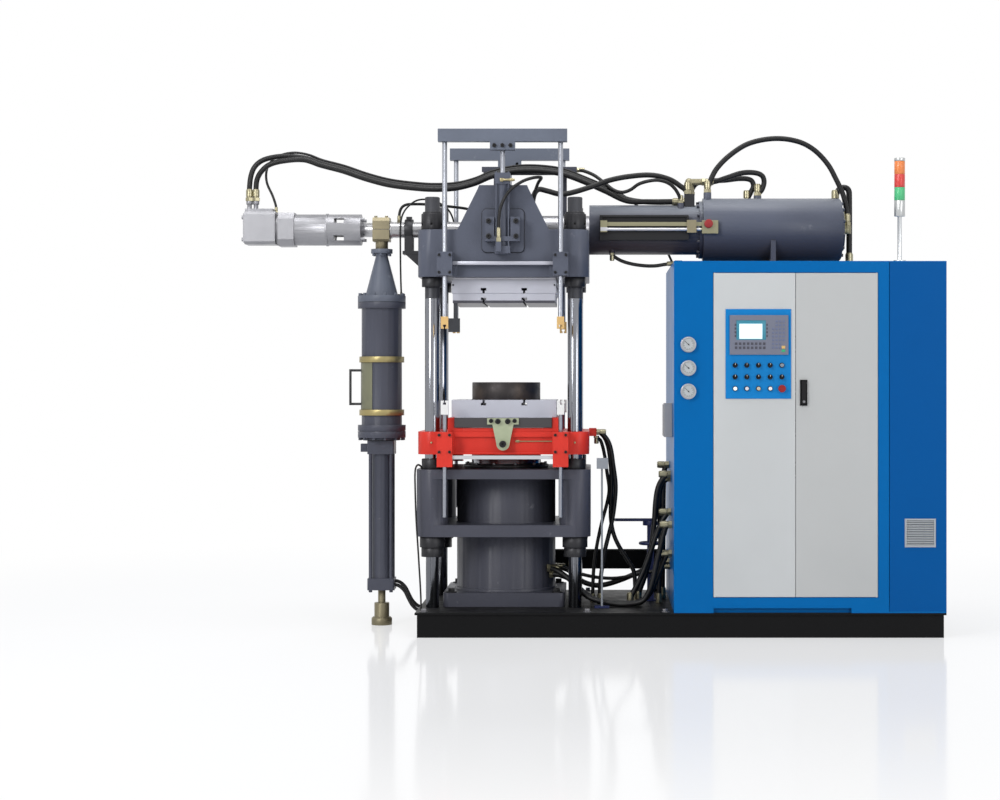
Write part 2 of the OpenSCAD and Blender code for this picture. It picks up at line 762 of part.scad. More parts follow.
module extruder_motor() {
    x1 = -gear_x - gearbox_len - 89;
    x0 = x1 - 205;
    color([0.74, 0.74, 0.77])
        translate([0, 0, inj_z]) {
            rotate([90, 0, 90])
                translate([0, 0, x0 + 16])
                    linear_extrude(174)
                        polygon([[-92, -70], [-70, -84], [70, -84], [92, -70], [92, 82],
                            [74, 100], [-74, 100], [-92, 82]]);
            block(x0 + 9, x0 + 17, -82, 82, -76, 88);
            for (y = [-66, 66], z = [-58, 66])
                translate([0, y, z])
                    tube_x(11, x0, x0 + 10);
            block(x0 + 14, x0 + 170, -44, 44, 99, 118);
            tube_x(78, x0 + 189, x1);
            for (i = [0, 1])
                translate([x0 + 33 + 37 * i, 0, 0]) {
                    tube_z(13, 117, 144);
                    tube_z(18, 144, 163);
                }
        }
}

// Gearbox: boxy input end, round body, lantern with side windows and end flange
module extruder_gearbox() {
    body_x = -gear_x;
    color([0.76, 0.76, 0.79])
        translate([0, 0, inj_z])
            difference() {
                union() {
                    rotate([90, 0, 90])
                        translate([0, 0, body_x - gearbox_len - 89])
                            linear_extrude(90)
                                polygon([[-94, -58], [-62, -94], [62, -94], [94, -58], [94, 58],
                                    [62, 94], [-62, 94], [-94, 58]]);
                    tube_x(gear_r, body_x - gearbox_len, body_x + 1);
                    tube_x(gear_r + 4, body_x - 46, body_x - 34);
                    tube_x(gear_r, body_x, -flange_x);
                    for (a = [45:90:315])
                        rotate([a, 0, 0])
                            translate([0, 0, gear_r - 10])
                                tube_x(9, -flange_x - 1, -flange_x + 22);
                }
                tube_x(gear_r - 22, body_x, body_x + lantern_len);
                for (z = [-62, 35])
                    block(body_x + 4, body_x + lantern_len - 4, -gear_r, gear_r, z, z + 27);
                tube_x(36, body_x - 120, -flange_x + 1);
            }
}

module extruder_barrel() {
    color([0.80, 0.80, 0.82])
        translate([0, 0, inj_z])
            difference() {
                union() {
                    tube_x(barrel_r, -flange_x, 0);
                    tube_x(sleeve_r, -stuffer_x + feed_w / 2, neck_in - 40);
                    tube_x(sleeve_r + 4, -stuffer_x + feed_w / 2, -stuffer_x + feed_w / 2 + 12);
                    tube_z(nozzle_r, head_z - board_t - inj_z + fit_gap, 0);
                }
                tube_x(21, -flange_x - 1, neck_in - 60);
                tube_z(runner_r, -inj_z, 1);
                translate([-stuffer_x, 0, 0])
                    tube_z(16, -barrel_r - 1, 0);
            }
}

// Split brass block that clamps round the barrel over the stuffer's neck
module feed_block() {
    half = feed_w / 2;
    color([0.72, 0.62, 0.38])
        translate([-stuffer_x, 0, inj_z])
            difference() {
                union() {
                    rotate([90, 0, 90])
                        translate([0, 0, -half])
                            linear_extrude(feed_w)
                                polygon([[-58, -feed_down + 12], [-46, -feed_down], [46, -feed_down],
                                    [58, -feed_down + 12], [58, feed_up - 20], [44, feed_up],
                                    [-44, feed_up], [-58, feed_up - 20]]);
                    tube_z(feed_neck_r, -feed_down - 42, -feed_down + 1);
                    for (s = [-1, 1])
                        translate([s * 30, -36, 0])
                            tube_z(9, feed_up - 1, feed_up + 9);
                }
                tube_x(barrel_r + fit_gap, -half - 1, half + 1);
                block(-half - 1, half + 1, -59, 59, -1, 2);
                tube_z(16, -feed_down - 43, 0);
            }
}

// Black pedestal clamp that carries the barrel on a gusset at the head's left side
module barrel_clamp() {
    x0 = -clamp_x;
    color([0.14, 0.14, 0.15])
        translate([0, 0, inj_z])
            difference() {
                union() {
                    tube_x(60, x0, x0 + clamp_w);
                    block(x0, x0 + clamp_w, -48, 48, -122, 0);
                    block(x0 + 8, x0 + clamp_w - 8, -20, 20, 40, 74);
                    block(x0 - 10, -head_hx, -55, 55, -140, -121);
                    for (s = [-1, 1])
                        translate([0, s * 45 + 8, 0])
                            rotate([90, 0, 0])
                                linear_extrude(16)
                                    polygon([[x0 + 4, -139], [-head_hx, -139],
                                        [-head_hx, -216], [-head_hx - 14, -216]]);
                }
                tube_x(sleeve_r + fit_gap, x0 - 1, x0 + clamp_w + 1);
            }
}

// Stuffer, its axis vertical

module at_stuffer() {
    translate([-stuffer_x, 0, 0])
        children();
}

// Hexagon bolt heads on a flange, between the heights z0 and z1
module ring_bolts(r, count, size, z0, z1) {
    for (i = [0:count - 1])
        rotate([0, 0, 360 * (i + 0.5) / count])
            translate([r, 0, z0])
                cylinder(r = size, h = z1 - z0, $fn = 6);
}

module stuffer_cone() {
    low = stuffer_top + stuffer_flange_t;
    bore = stuffer_r - stuffer_wall;
    color([0.34, 0.36, 0.40])
        at_stuffer()
            difference() {
                union() {
                    tube_z(stuffer_flange_r, stuffer_top, low);
                    translate([0, 0, low])
                        cylinder(r1 = stuffer_r - 21, r2 = cone_neck_r + 4,
                            h = cone_top - cone_top_t - low - 20);
                    tube_z(cone_neck_r + 4, cone_top - cone_top_t - 21, cone_top);
                    tube_z(61, cone_top - cone_top_t, cone_top);
                    ring_bolts(50, 6, 9, cone_top - cone_top_t - 14, cone_top - cone_top_t + 1);
                    ring_bolts(stuffer_flange_r - 12, 12, 10, low - 1, low + 14);
                }
                translate([0, 0, stuffer_top - 1])
                    cylinder(r1 = bore, r2 = 16, h = cone_top - stuffer_top - 30);
                tube_z(16, cone_top - 40, cone_top + 1);
            }
}

// Barrel with a loading window at its left side, closed by the shutter
module stuffer_barrel() {
    bore = stuffer_r - stuffer_wall;
    color([0.36, 0.36, 0.41])
        at_stuffer()
            difference() {
                union() {
                    tube_z(stuffer_r, stuffer_z, stuffer_top);
                    tube_z(stuffer_flange_r, stuffer_z, stuffer_z + stuffer_flange_t * 2);
                    tube_z(stuffer_flange_r, stuffer_top - stuffer_flange_t, stuffer_top);
                    ring_bolts(stuffer_flange_r - 12, 12, 10, stuffer_z - 14, stuffer_z + 1);
                }
                tube_z(bore, stuffer_z + stuffer_flange_t, stuffer_top + 1);
                tube_z(ram_rod_r + run_gap, stuffer_z - 1, stuffer_z + stuffer_flange_t + 1);
                translate([0, 0, stuffer_z + stuffer_flange_t * 1.05])
                    rotate_extrude()
                        translate([stuffer_flange_r, 0])
                            square([8, 4], center = true);
                rotate([0, 0, 130])
                    rotate_extrude(angle = 100)
                        translate([bore - 1, band_z + band_h + 4])
                            square([stuffer_wall + 2, band_pitch - band_h - 8]);
            }
}

// Two brass rings, each with a groove that guides one edge of the shutter
module stuffer_bands() {
    outer = stuffer_r + 13;
    groove = shutter_t + 2 * fit_gap;
    color([0.74, 0.62, 0.30])
        at_stuffer()
            for (i = [0, 1])
                difference() {
                    translate([0, 0, band_z + i * band_pitch])
                        difference() {
                            tube_z(outer, 0, band_h);
                            tube_z(stuffer_r, -1, band_h + 1);
                        }
                    translate([0, 0, band_z + i * (band_pitch - 1) + (1 - i) * (band_h - 13)])
                        tube_z(stuffer_r + groove, 0, 14);
                }
}

module stuffer_cylinder() {
    half = ram_head / 2;
    top = stuffer_z - 14;
    low = ram_low_z;
    color([0.34, 0.34, 0.39])
        at_stuffer()
            difference() {
                union() {
                    slab(half, half, 8, low, low + ram_low_t);
                    slab(half, half, 8, top - ram_top_t, top);
                    tube_z(stuffer_flange_r - 30, top - 1, stuffer_z);
                    tube_z(ram_tube_r, low + 1, top - 1);
                    corners(half - 17, half - 17)
                        tube_z(10, low - 12, top - ram_top_t + 1);
                    block(-half - 42, -half + 1, -28, 28, top - 66, top - 20);
                }
                tube_z(ram_tube_r - 7, low + ram_low_t, top - ram_top_t);
                tube_z(ram_rod_r + run_gap, top - ram_top_t - 1, stuffer_z + 1);
            }
}

module stuffer_foot() {
    color([0.50, 0.47, 0.36])
        at_stuffer() {
            tube_z(58, 0, foot_pad_h - 8);
            translate([0, 0, foot_pad_h - 8])
                cylinder(r1 = 58, r2 = 50, h = 8);
            tube_z(42, foot_pad_h, foot_pad_h + foot_nut_h);
            tube_z(21, foot_pad_h + foot_nut_h, ram_low_z);
        }
}

// Injection side

module injection_cylinder() {
    color([0.30, 0.31, 0.35])
        translate([0, 0, inj_z]) {
            tube_x(neck_r, neck_in, head_hx);
            tube_x(inj_r, head_hx, house_x - 22);
            tube_x(inj_r + 22, house_x - 22, house_x);
            for (a = [0:30:330])
                rotate([a, 0, 0])
                    translate([0, 0, inj_r + 10])
                        tube_x(8, house_x - 36, house_x - 21);
            translate([985, -65, 0])
                tube_z(18, 60, 147);
            translate([598, -60, 0])
                tube_z(18, -133, -100);
        }
}

module drive_housing() {
    color([0.36, 0.38, 0.42])
        translate([house_x, 0, inj_z]) {
            tube_x(house_r, 0, house_len - 10);
            translate([house_len - 10, 0, 0])
                rotate([0, 90, 0])
                    cylinder(r1 = house_r, r2 = house_r - 10, h = 10);
            tube_x(house_r - 60, house_len - 1, house_len + 16);
            for (a = [15:30:345])
                rotate([a, 0, 0])
                    translate([0, 0, house_r - 28])
                        tube_x(9, house_len - 1, house_len + 12);
            tube_x(24, house_len + 15, house_len + 38);
            translate([house_len + 38, 0, 0])
                tube_z(24, -22, 24);
            translate([26, -45, 0])
                tube_z(22, house_r - 12, 207);
            translate([315, 40, 0])
                tube_z(22, house_r - 8, 197);
        }
}

// Saddle plate under the drive housing, standing on the cabinet roof
module housing_saddle() {
    x0 = house_x + 374;
    saddle_hy = house_r - 8;
    color([0.30, 0.31, 0.35]) {
        difference() {
            block(x0, x0 + 28, -saddle_hy, saddle_hy, cab_top, inj_z - 70);
            translate([0, 0, inj_z])
                tube_x(house_r + fit_gap, x0 - 1, x0 + 29);
        }
        block(x0 - 40, x0 + 68, -saddle_hy - 20, saddle_hy + 20, cab_top, cab_top + 8);
    }
}

module scale_cover() {
    x0 = head_hx + 58;
    x1 = house_x - 84;
    color([0.12, 0.12, 0.13])
        difference() {
            block(x0, x1, -inj_r - 26, -inj_r + 52, inj_z - 68, inj_z + 72);
            translate([0, 0, inj_z])
                tube_x(inj_r + fit_gap, x0 - 1, x1 + 1);
            block(x0 + 14, x1 - 14, -inj_r - 27, -inj_r - 14, inj_z + 4, inj_z + 58);
        }
}

scale_y = -house_r - 14;
scale_z0 = inj_z + 19;

// Position scale and guide rod between two brass end blocks
module scale_rail() {
    x0 = head_hx + 62;
    x1 = house_x + 18;
    color([0.66, 0.62, 0.46]) {
        block(x0, x0 + 38, scale_y - 17, -inj_r - 26, inj_z - 26, inj_z + 38);
        block(x0 + 37, x1, scale_y - 6, scale_y + 6, scale_z0 - 11, scale_z0 + 11);
        difference() {
            block(x1 - 30, x1 + 60, scale_y - 12, -inj_r, inj_z - 34, inj_z + 40);
            translate([0, 0, inj_z])
                tube_x(house_r + fit_gap, x1 - 31, x1 + 61);
        }
        translate([0, scale_y, inj_z - 10])
            tube_x(9, x0, x1 - 29);
    }
}

// Brass carriage that reads the position of the injection plunger
module scale_carriage() {
    x0 = house_x - 96;
    color([0.70, 0.64, 0.42])
        difference() {
            block(x0, x0 + 52, scale_y - 19, scale_y + 15, inj_z - 30, scale_z0 + 22);
            translate([0, scale_y, inj_z - 10])
                tube_x(9 + run_gap, x0 - 1, x0 + 53);
            block(x0 - 1, x0 + 53, scale_y - 6 - run_gap, scale_y + 6 + run_gap,
                scale_z0 - 11 - run_gap, scale_z0 + 11 + run_gap);
        }
}

// Black valve block on the injection cylinder with a brass elbow
module valve_block() {
    x0 = house_x - 104;
    top = inj_z + inj_r + 59;
    color([0.15, 0.15, 0.16]) {
        difference() {
            block(x0, x0 + 57, -60, 60, inj_z + 100, top);
            translate([0, 0, inj_z])
                tube_x(inj_r + fit_gap, x0 - 1, x0 + 58);
        }
        translate([x0 + 28, 0, 0])
            tube_z(22, top - 1, top + 73);
        translate([x0 + 28, 0, top + 73])
            sphere(r = 22);
        translate([0, 0, top + 73])
            tube_x(18, x0 + 28, x0 + 100);
    }
}

// Cabinet: welded sheet shell with a door opening and a roof
module cabinet_shell() {
    x1 = cab_x + cab_w;
    back = cab_front + cab_dep;
    color([0.02, 0.40, 0.72])
        difference() {
            block(cab_x, x1, cab_front, back, base_h, cab_top);
            block(cab_x + cab_wall, x1 - cab_wall, cab_front + cab_wall, back - cab_wall,
                base_h + 40, cab_top - cab_wall);
            block(left_door_x - 24, right_door_x + 24, cab_front - 1, cab_front + cab_wall + 1,
                sill_z - 24, sill_z + door_h + 24);
            block(service_x, x1 + 1, cab_front - 1, cab_front + cab_wall + 1, base_h + 8, cab_top - 6);
            block(left_door_x, right_door_x - 140, cab_front - 1, cab_front + 26,
                base_h - 1, base_h + 26);
        }
    door_frame();
    color([0.02, 0.40, 0.72]) {
        block(950, 990, -120, -70, cab_top - 1, cab_top + 34);
        translate([1948, 60, 0])
            tube_z(32, cab_top - 1, cab_top + 10);
    }
}

// Folded frame round the doors, with a stop lip behind them and four holes for the hinge pins
module door_frame() {
    y1 = cab_front + door_t + 24;
    color([0.02, 0.40, 0.72])
        difference() {
            block(left_door_x - 26, right_door_x + 26, cab_front, y1, sill_z - 26,
                sill_z + door_h + 26);
            block(left_door_x - door_gap, right_door_x + door_gap, cab_front - 1,
                cab_front + door_t + 6, sill_z - door_gap, sill_z + door_h + door_gap);
            block(left_door_x + 14, right_door_x - 14, cab_front, y1 + 1, sill_z + 14,
                sill_z + door_h - 14);
            for (x = [left_door_x + pin_in, right_door_x - pin_in])
                translate([x, cab_front + pin_in, 0])
                    tube_z(pin_r + run_gap, sill_z - pin_len - 1, sill_z + door_h + pin_len + 1);
        }
}

// Service panel with a louvred vent
module service_panel() {
    x0 = service_x + 3;
    x1 = cab_x + cab_w;
    vent_x = x0 + 84;
    vent_z = 488;
    color([0.02, 0.34, 0.64]) {
        difference() {
            block(x0, x1, cab_front, cab_front + cab_wall + 1, base_h + 8 + fit_gap, cab_top - 6 - fit_gap);
            block(vent_x + 6, vent_x + 154, cab_front - 1, cab_front + 6, vent_z + 6, vent_z + 144);
        }
        for (i = [0:10])
            translate([0, 0, vent_z + 9 + i * 12.8])
                rotate([0, 90, 0])
                    translate([0, 0, vent_x])
                        linear_extrude(160)
                            polygon([[0, cab_front - 5], [2, cab_front - 5], [-6, cab_front + 4],
                                [-8, cab_front + 4]]);
        difference() {
            block(vent_x, vent_x + 160, cab_front - 6, cab_front, vent_z, vent_z + 150);
            block(vent_x + 6, vent_x + 154, cab_front - 7, cab_front + 1, vent_z + 6, vent_z + 144);
        }
    }
}

// Sheet door, folded into a pan, that turns on a pin at the top and one at the bottom
module door_leaf(x0, pin_x) {
    top = sill_z + door_h;
    difference() {
        block(x0, x0 + door_w, cab_front, cab_front + door_t, sill_z, top);
        block(x0 + 3, x0 + door_w - 3, cab_front + 3, cab_front + door_t + 1, sill_z + 3, top - 3);
    }
    for (z = [sill_z + 2, top - 20])
        block(pin_x - pin_in + 1, pin_x + pin_in - 1, cab_front + 2, cab_front + door_t - 3,
            z, z + 18);
    translate([pin_x, cab_front + pin_in, 0]) {
        tube_z(pin_r, sill_z - pin_len, sill_z + 3);
        tube_z(pin_r, top - 3, top + pin_len);
    }
}

module left_door() {
    color([0.84, 0.85, 0.86])
        difference() {
            door_leaf(left_door_x, left_door_x + pin_in);
            translate([knob_x + 4 * knob_pitch, 0, knob_z])
                tube_y(11, cab_front - 1, cab_front + 4);
        }
}

module right_door() {
    color([0.82, 0.83, 0.83]) {
        door_leaf(mid_door_x, right_door_x - pin_in);
        difference() {
            block(handle_x, handle_x + handle_w, cab_front - 9, cab_front + 1, handle_z,
                handle_z + handle_h);
            translate([handle_x + handle_w / 2, 0, handle_pin_z])
                tube_y(handle_pin_r + run_gap, cab_front - 10, cab_front - 1);
        }
    }
}

// Lever of the door lock, which turns on a pin in its plate
module door_handle() {
    color([0.08, 0.08, 0.09])
        difference() {
            union() {
                block(handle_x + 8, handle_x + handle_w - 8, cab_front - 22,
                    cab_front - 9 - fit_gap, handle_z + 10, handle_z + handle_h - 8);
                translate([handle_x + handle_w / 2, 0, handle_pin_z])
                    tube_y(handle_pin_r, cab_front - 10, cab_front - 3);
            }
            block(handle_x, handle_x + handle_w, cab_front - 15, cab_front - 8,
                handle_z + 32, handle_z + handle_h - 50);
        }
}

// Control panel: blue front plate with the raised housing of the operator terminal
module control_panel() {
    unit_x = panel_x + 22;
    unit_z = panel_z + panel_h - 244;
    color([0.08, 0.52, 0.82])
        difference() {
            union() {
                block(panel_x, panel_x + panel_w, cab_front - panel_t, cab_front, panel_z,
                    panel_z + panel_h);
                block(unit_x, unit_x + 313, cab_front - panel_t - 12, cab_front - panel_t + 1,
                    unit_z, unit_z + 211);
            }
            block(unit_x + 34, unit_x + 194, cab_front - panel_t - 13, cab_front - panel_t - 9,
                unit_z + 78, unit_z + 184);
            translate([knob_x + 4 * knob_pitch, 0, knob_z])
                tube_y(11, cab_front - panel_t - 1, cab_front + 1);
        }
}

// Nine selector knobs, three push buttons and two lamps in their bezels
module selector_knobs() {
    y1 = cab_front - panel_t;
    color([0.06, 0.06, 0.07])
        for (i = [0:4], j = [0:2])
            if (!(i == 4 && j == 0))
                translate([knob_x + i * knob_pitch, 0, knob_z + j * knob_pitch]) {
                    tube_y(knob_d / 2, y1 - 6, y1);
                    if (j == 0 || (i == 4 && j == 2))
                        tube_y(knob_d / 2 - 4, y1 - 13, y1 - 5);
                    else {
                        tube_y(knob_d / 2 - 3, y1 - 12, y1 - 5);
                        block(-4, 4, y1 - 24, y1 - 11, -knob_d / 2 + 1, knob_d / 2 - 1);
                    }
                }
}

module stop_button() {
    y1 = cab_front - panel_t;
    color([0.70, 0.10, 0.10])
        translate([knob_x + 4 * knob_pitch, 0, knob_z]) {
            tube_y(10.9, y1 - button_stroke - 2, cab_front + 14);
            tube_y(20, y1 - button_stroke - 18, y1 - button_stroke - 1);
        }
}

module pressure_gauges() {
    color([0.75, 0.76, 0.78])
        for (z = gauge_z)
            translate([gauge_x, 0, z]) {
                tube_y(gauge_d / 2, cab_front - 8, cab_front);
                difference() {
                    tube_y(gauge_d / 2 - 4, cab_front - 26, cab_front - 7);
                    tube_y(gauge_d / 2 - 9, cab_front - 27, cab_front - 20);
                }
            }
}

module junction_box() {
    color([0.72, 0.72, 0.70]) {
        block(cab_x - 44, cab_x, -400, -260, 1070, 1256);
        block(cab_x - 50, cab_x - 43, -394, -266, 1076, 1250);
    }
}

module beacon_stem() {
    color([0.75, 0.76, 0.78])
        translate([beacon_x, beacon_y, cab_top]) {
            tube_z(34, 0, 8);
            tube_z(11.5, 7, 246);
            tube_z(29, 245, 331);
            tube_z(29.5, 543, 560);
            tube_z(7, 330, 544);
        }
}

module beacon_lenses() {
    color([0.90, 0.45, 0.10])
        translate([beacon_x, beacon_y, cab_top])
            for (i = [0:2])
                difference() {
                    tube_z(29, 331.3 + i * 70.6, 400.6 + i * 70.6);
                    tube_z(7 + fit_gap, 330, 560);
                }
}

// Raised cable trough behind the press
module cable_trough() {
    x0 = 120;
    x1 = cab_x - 1;
    y0 = base_dep / 2 - 120;
    z0 = base_h + 136;
    color([0.12, 0.12, 0.13]) {
        difference() {
            block(x0, x1, y0, y0 + 90, z0, z0 + 110);
            block(x0 - 1, x1 + 1, y0 + 4, y0 + 86, z0 + 4, z0 + 111);
        }
        for (x = [x0 + 40, x1 - 90])
            block(x, x + 50, y0 + 20, y0 + 70, base_h, z0 + 1);
    }
}

// Limit switch on its rod, and the filter on its post, beside the press
module service_stand() {
    switch_x = bed_hx + 62;
    post_x = cab_x - 108;
    bar_h = base_h + 449;
    color([0.12, 0.16, 0.30]) {
        translate([switch_x, -col_y - 15, 0]) {
            block(-40, 40, -40, 40, base_h, base_h + 8);
            tube_z(5.5, base_h + 7, bed_top + 4);
            block(-29, 34, -25, 25, bed_top + 3, bed_top + 61);
        }
        translate([post_x, 30, 0]) {
            block(-37, 37, -40, 40, base_h, base_h + 8);
            block(-19, 19, -18, 18, base_h + 7, bar_h + 4);
            block(-205, 29, -15, 15, bar_h, bar_h + 16);
        }
        translate([post_x, 30, bar_h - 125]) {
            rotate_extrude()
                translate([58, 0])
                    circle(9);
            block(-58, 58, -5, 5, -5, 5);
            block(-5, 5, -58, 58, -5, 5);
            tube_z(44, 102, 126);
        }
    }
}

module oil_tank() {
    x0 = cab_in_x;
    x1 = cab_x + cab_w - 60;
    z0 = base_h + 40;
    y0 = tank_y;
    color([0.45, 0.47, 0.50]) {
        block(x0, x1, y0, -cab_front - 130, z0, z0 + 520);
        translate([0, y0 + 320, z0 + 700]) {
            tube_x(130, x0 + 120, x0 + 560);
            tube_x(80, x0 + 559, x0 + 760);
        }
        block(x0 + 180, x0 + 500, y0 + 200, y0 + 440, z0 + 519, z0 + 600);
    }
}

module electrical_plate() {
    x0 = cab_x + 260;
    z0 = base_h + 700;
    y0 = plate_y;
    color([0.80, 0.80, 0.78]) {
        block(x0, x0 + 900, y0, y0 + 4, base_h + 40, z0 + 1000);
        for (r = [0:3], i = [0:6])
            block(x0 + 60 + i * 112, x0 + 150 + i * 112, y0 - 70, y0, z0 + r * 230, z0 + 110 + r * 230);
    }
}

// Moving pieces

module screw_shaft() {
    color([0.70, 0.70, 0.72])
        translate([0, 0, inj_z]) {
            tube_x(35, -gear_x - 100, -flange_x - 10);
            tube_x(19, -flange_x - 11, neck_in - 140);
        }
}

module stuffer_ram() {
    low = ram_low_z + ram_low_t + 20;
    floor_z = stuffer_z + stuffer_flange_t;
    color([0.70, 0.70, 0.72])
        at_stuffer() {
            tube_z(ram_tube_r - 7 - run_gap, low, low + 40);
            tube_z(ram_rod_r, low + 39, floor_z + 9);
            tube_z(stuffer_r - stuffer_wall - run_gap, floor_z + 8, floor_z + 50);
        }
}

// Curved loading shutter with a bar handle
module stuffer_shutter() {
    inner = stuffer_r + fit_gap;
    low = band_z + band_h - 12;
    high = band_z + band_pitch + 12;
    grip = 64;
    mid = band_z + band_pitch / 2 + 10;
    color([0.50, 0.50, 0.38])
        at_stuffer() {
            rotate([0, 0, 114])
                rotate_extrude(angle = 134)
                    translate([inner, low])
                        square([shutter_t, high - low]);
            for (s = [-1, 1])
                translate([0, 0, mid + s * 95])
                    tube_x(7, -inner - grip, -inner - shutter_t / 2);
            translate([-inner - grip, 0, 0])
                tube_z(7, mid - 102, mid + 102);
        }
}

// Red moving beam: column sleeves, front recess, guide plates and a bore for the slide rod
slide_rod_r = 14;
slide_rod_z = beam_z + 58;
slide_rod_len = 560;
module moving_beam() {
    color([0.80, 0.14, 0.10])
        difference() {
            union() {
                slab(head_hx, head_hy, head_boss, beam_z, beam_top);
                corners(lift_x, (head_hy + lift_y + 24) / 2)
                    translate([0, 0, beam_top - 95])
                        cube([guide_w, lift_y + 24 - head_hy + 2, 190], center = true);
                ends(lift_y)
                    block(guide_w / 2 - lift_x - 1, lift_x - guide_w / 2 + 1, -8, 8,
                        beam_z - 24, beam_z - 4);
                block(head_hx - 1, head_hx + 40, -150, -50, beam_top - 30, beam_top + 14);
            }
            column_bores(run_gap);
            for (s = [-1, 1])
                translate([0, s * head_hy, 0])
                    block(-lift_x + guide_w / 2 + 6, lift_x - guide_w / 2 - 6, -18, 18,
                        beam_z + 10, beam_top - 28);
            corners(lift_x, lift_y)
                tube_z(low_rod_d / 2 + run_gap, beam_z - 70, beam_top + 30);
            translate([0, 0, slide_rod_z])
                tube_y(slide_rod_r + run_gap, -head_hy - 1, head_hy + 1);
            for (sx = [-1, 1], sy = [-1, 1], bx = [-1, 1], bz = [16, 108])
                translate([sx * lift_x + bx * (guide_w / 2 - 14), sy * (lift_y + 18), beam_z + bz])
                    tube_y(7, -8, 8);
        }
}

module main_ram() {
    color([0.82, 0.82, 0.84])
        tube_z(ram_d / 2, base_h + cyl_floor + 60, beam_z);
}

// Two L-shaped rails that carry and guide the sliding carriage
module slide_rails() {
    inner = carriage_hx + fit_gap;
    top = lower_platen_z - 0.6;
    color([0.80, 0.14, 0.10])
        for (s = [-1, 1])
            scale_x(s) {
                block(inner, inner + rail_w, -head_hy + 4, head_hy - 20, beam_top, top);
                block(inner - 48, inner + 1, -head_hy + 4, head_hy - 20, beam_top,
                    beam_top + rail_foot);
            }
}

module scale_x(s) {
    if (s > 0)
        children();
    else
        mirror([1, 0, 0])
            children();
}

module lower_heat_platen() {
    color([0.78, 0.78, 0.82])
        difference() {
            union() {
                block(-platen_w / 2, platen_w / 2, -platen_dep / 2, platen_dep / 2,
                    lower_platen_z, mould_z);
                block(-carriage_hx, carriage_hx, -carriage_hy, platen_dep / 2,
                    carriage_z, lower_platen_z + 1);
            }
            tee_slots(mould_z, false);
            block(-platen_w, platen_w, -carriage_hy - 1, -platen_dep / 2, lower_platen_z,
                mould_z + 1);
        }
}

// Pull bracket of the sliding carriage: tapered plate with six bolts and the piston rod
module pull_bracket() {
    y1 = -carriage_hy;
    y0 = y1 - 16;
    top = lower_platen_z - 3;
    z_eye = slide_rod_z;
    color([0.62, 0.64, 0.52]) {
        translate([0, y1, 0])
            rotate([90, 0, 0])
                linear_extrude(16)
                    union() {
                        polygon([[-86, top], [86, top], [86, top - 34], [58, top - 34],
                            [36, z_eye], [-36, z_eye], [-58, top - 34], [-86, top - 34]]);
                        translate([0, z_eye])
                            circle(36);
                    }
        for (x = [-64, -26, 26, 64])
            translate([x, 0, top - 17])
                tube_y(10, y0 - 8, y0 + 1);
        translate([0, 0, z_eye]) {
            tube_y(20, y0 - 12, y0 + 1);
            tube_y(slide_rod_r, y1 - 1, y1 + slide_rod_len);
        }
    }
}

module mould_block() {
    color([0.28, 0.26, 0.25])
        difference() {
            union() {
                tube_z(mould_d / 2, mould_z, mould_z + mould_h - 3);
                translate([0, 0, mould_z + mould_h - 3])
                    cylinder(r1 = mould_d / 2, r2 = mould_d / 2 - 3, h = 3);
            }
            translate([0, 0, mould_z + mould_h])
                cylinder(r1 = 2, r2 = 28, h = 26, center = true);
        }
}

module lift_crossbars() {
    color([0.38, 0.39, 0.44])
        ends(lift_y)
            difference() {
                union() {
                    block(-bar_len / 2, bar_len / 2, -bar_dep / 2, bar_dep / 2, bar_z, bar_z + bar_h);
                    block(-hanger_w / 2, hanger_w / 2, -bar_dep / 2, bar_dep / 2,
                        bar_z - hanger_h, bar_z + 1);
                }
                for (s = [-1, 1])
                    translate([s * 44, 0, bar_z - hanger_h / 2])
                        tube_y(9, -bar_dep / 2 - 1, bar_dep / 2 + 1);
            }
}

module latch(z0, h, up) {
    translate([0, 0, z0])
        difference() {
            block(-latch_w / 2, latch_w / 2, -latch_w / 2, latch_w / 2, 0, h);
            block(-4, 4, -latch_w, latch_w, up ? h - 12 : -1, up ? h + 1 : 12);
            block(-9, 9, -latch_w, latch_w, up ? h - 22 : 11, up ? h - 11 : 22);
        }
}

module lift_rods() {
    piston_z = lift_low + lift_head_t + 130;
    color([0.80, 0.81, 0.83]) {
        corners(lift_x, lift_y) {
            tube_z(rod_d / 2, latch_z + latch_h - 1, bar_z);
            latch(latch_z, latch_h, false);
        }
        ends(lift_y) {
            tube_z(lift_rod_d / 2, piston_z, bar_z - hanger_h);
            tube_z(24 - run_gap, piston_z - 24, piston_z + 1);
        }
    }
}

module lower_lift_rods() {
    color([0.80, 0.81, 0.83])
        corners(lift_x, lift_y) {
            tube_z(low_rod_d / 2, low_rod_z, low_latch_z + 1);
            latch(low_latch_z, 76, true);
        }
}

// Hoses

// Two pressure hoses and a cable of the extruder motor
module motor_hoses() {
    color([0.08, 0.08, 0.08]) {
        hose(motor_route_a, hose_r);
        hose(motor_route_b, hose_r);
        hose(motor_cable, thin_r);
    }
}

// Hoses of the injection cylinder, of the front lift cylinder and of the clamp of the barrel
module line_hoses() {
    color([0.08, 0.08, 0.08]) {
        hose(house_route, hose_r);
        hose(valve_route, hose_r);
        hose(valve_route_b, hose_r);
        hose(head_route, hose_r);
        hose(shelf_route, thin_r + 3);
        hose(return_pipe, hose_r + 2);
        hose(gland_route, thin_r + 3);
        hose(clamp_route, thin_r + 1);
        hose(probe_route, thin_r - 2);
        hose(lift_route, thin_r + 2);
    }
}

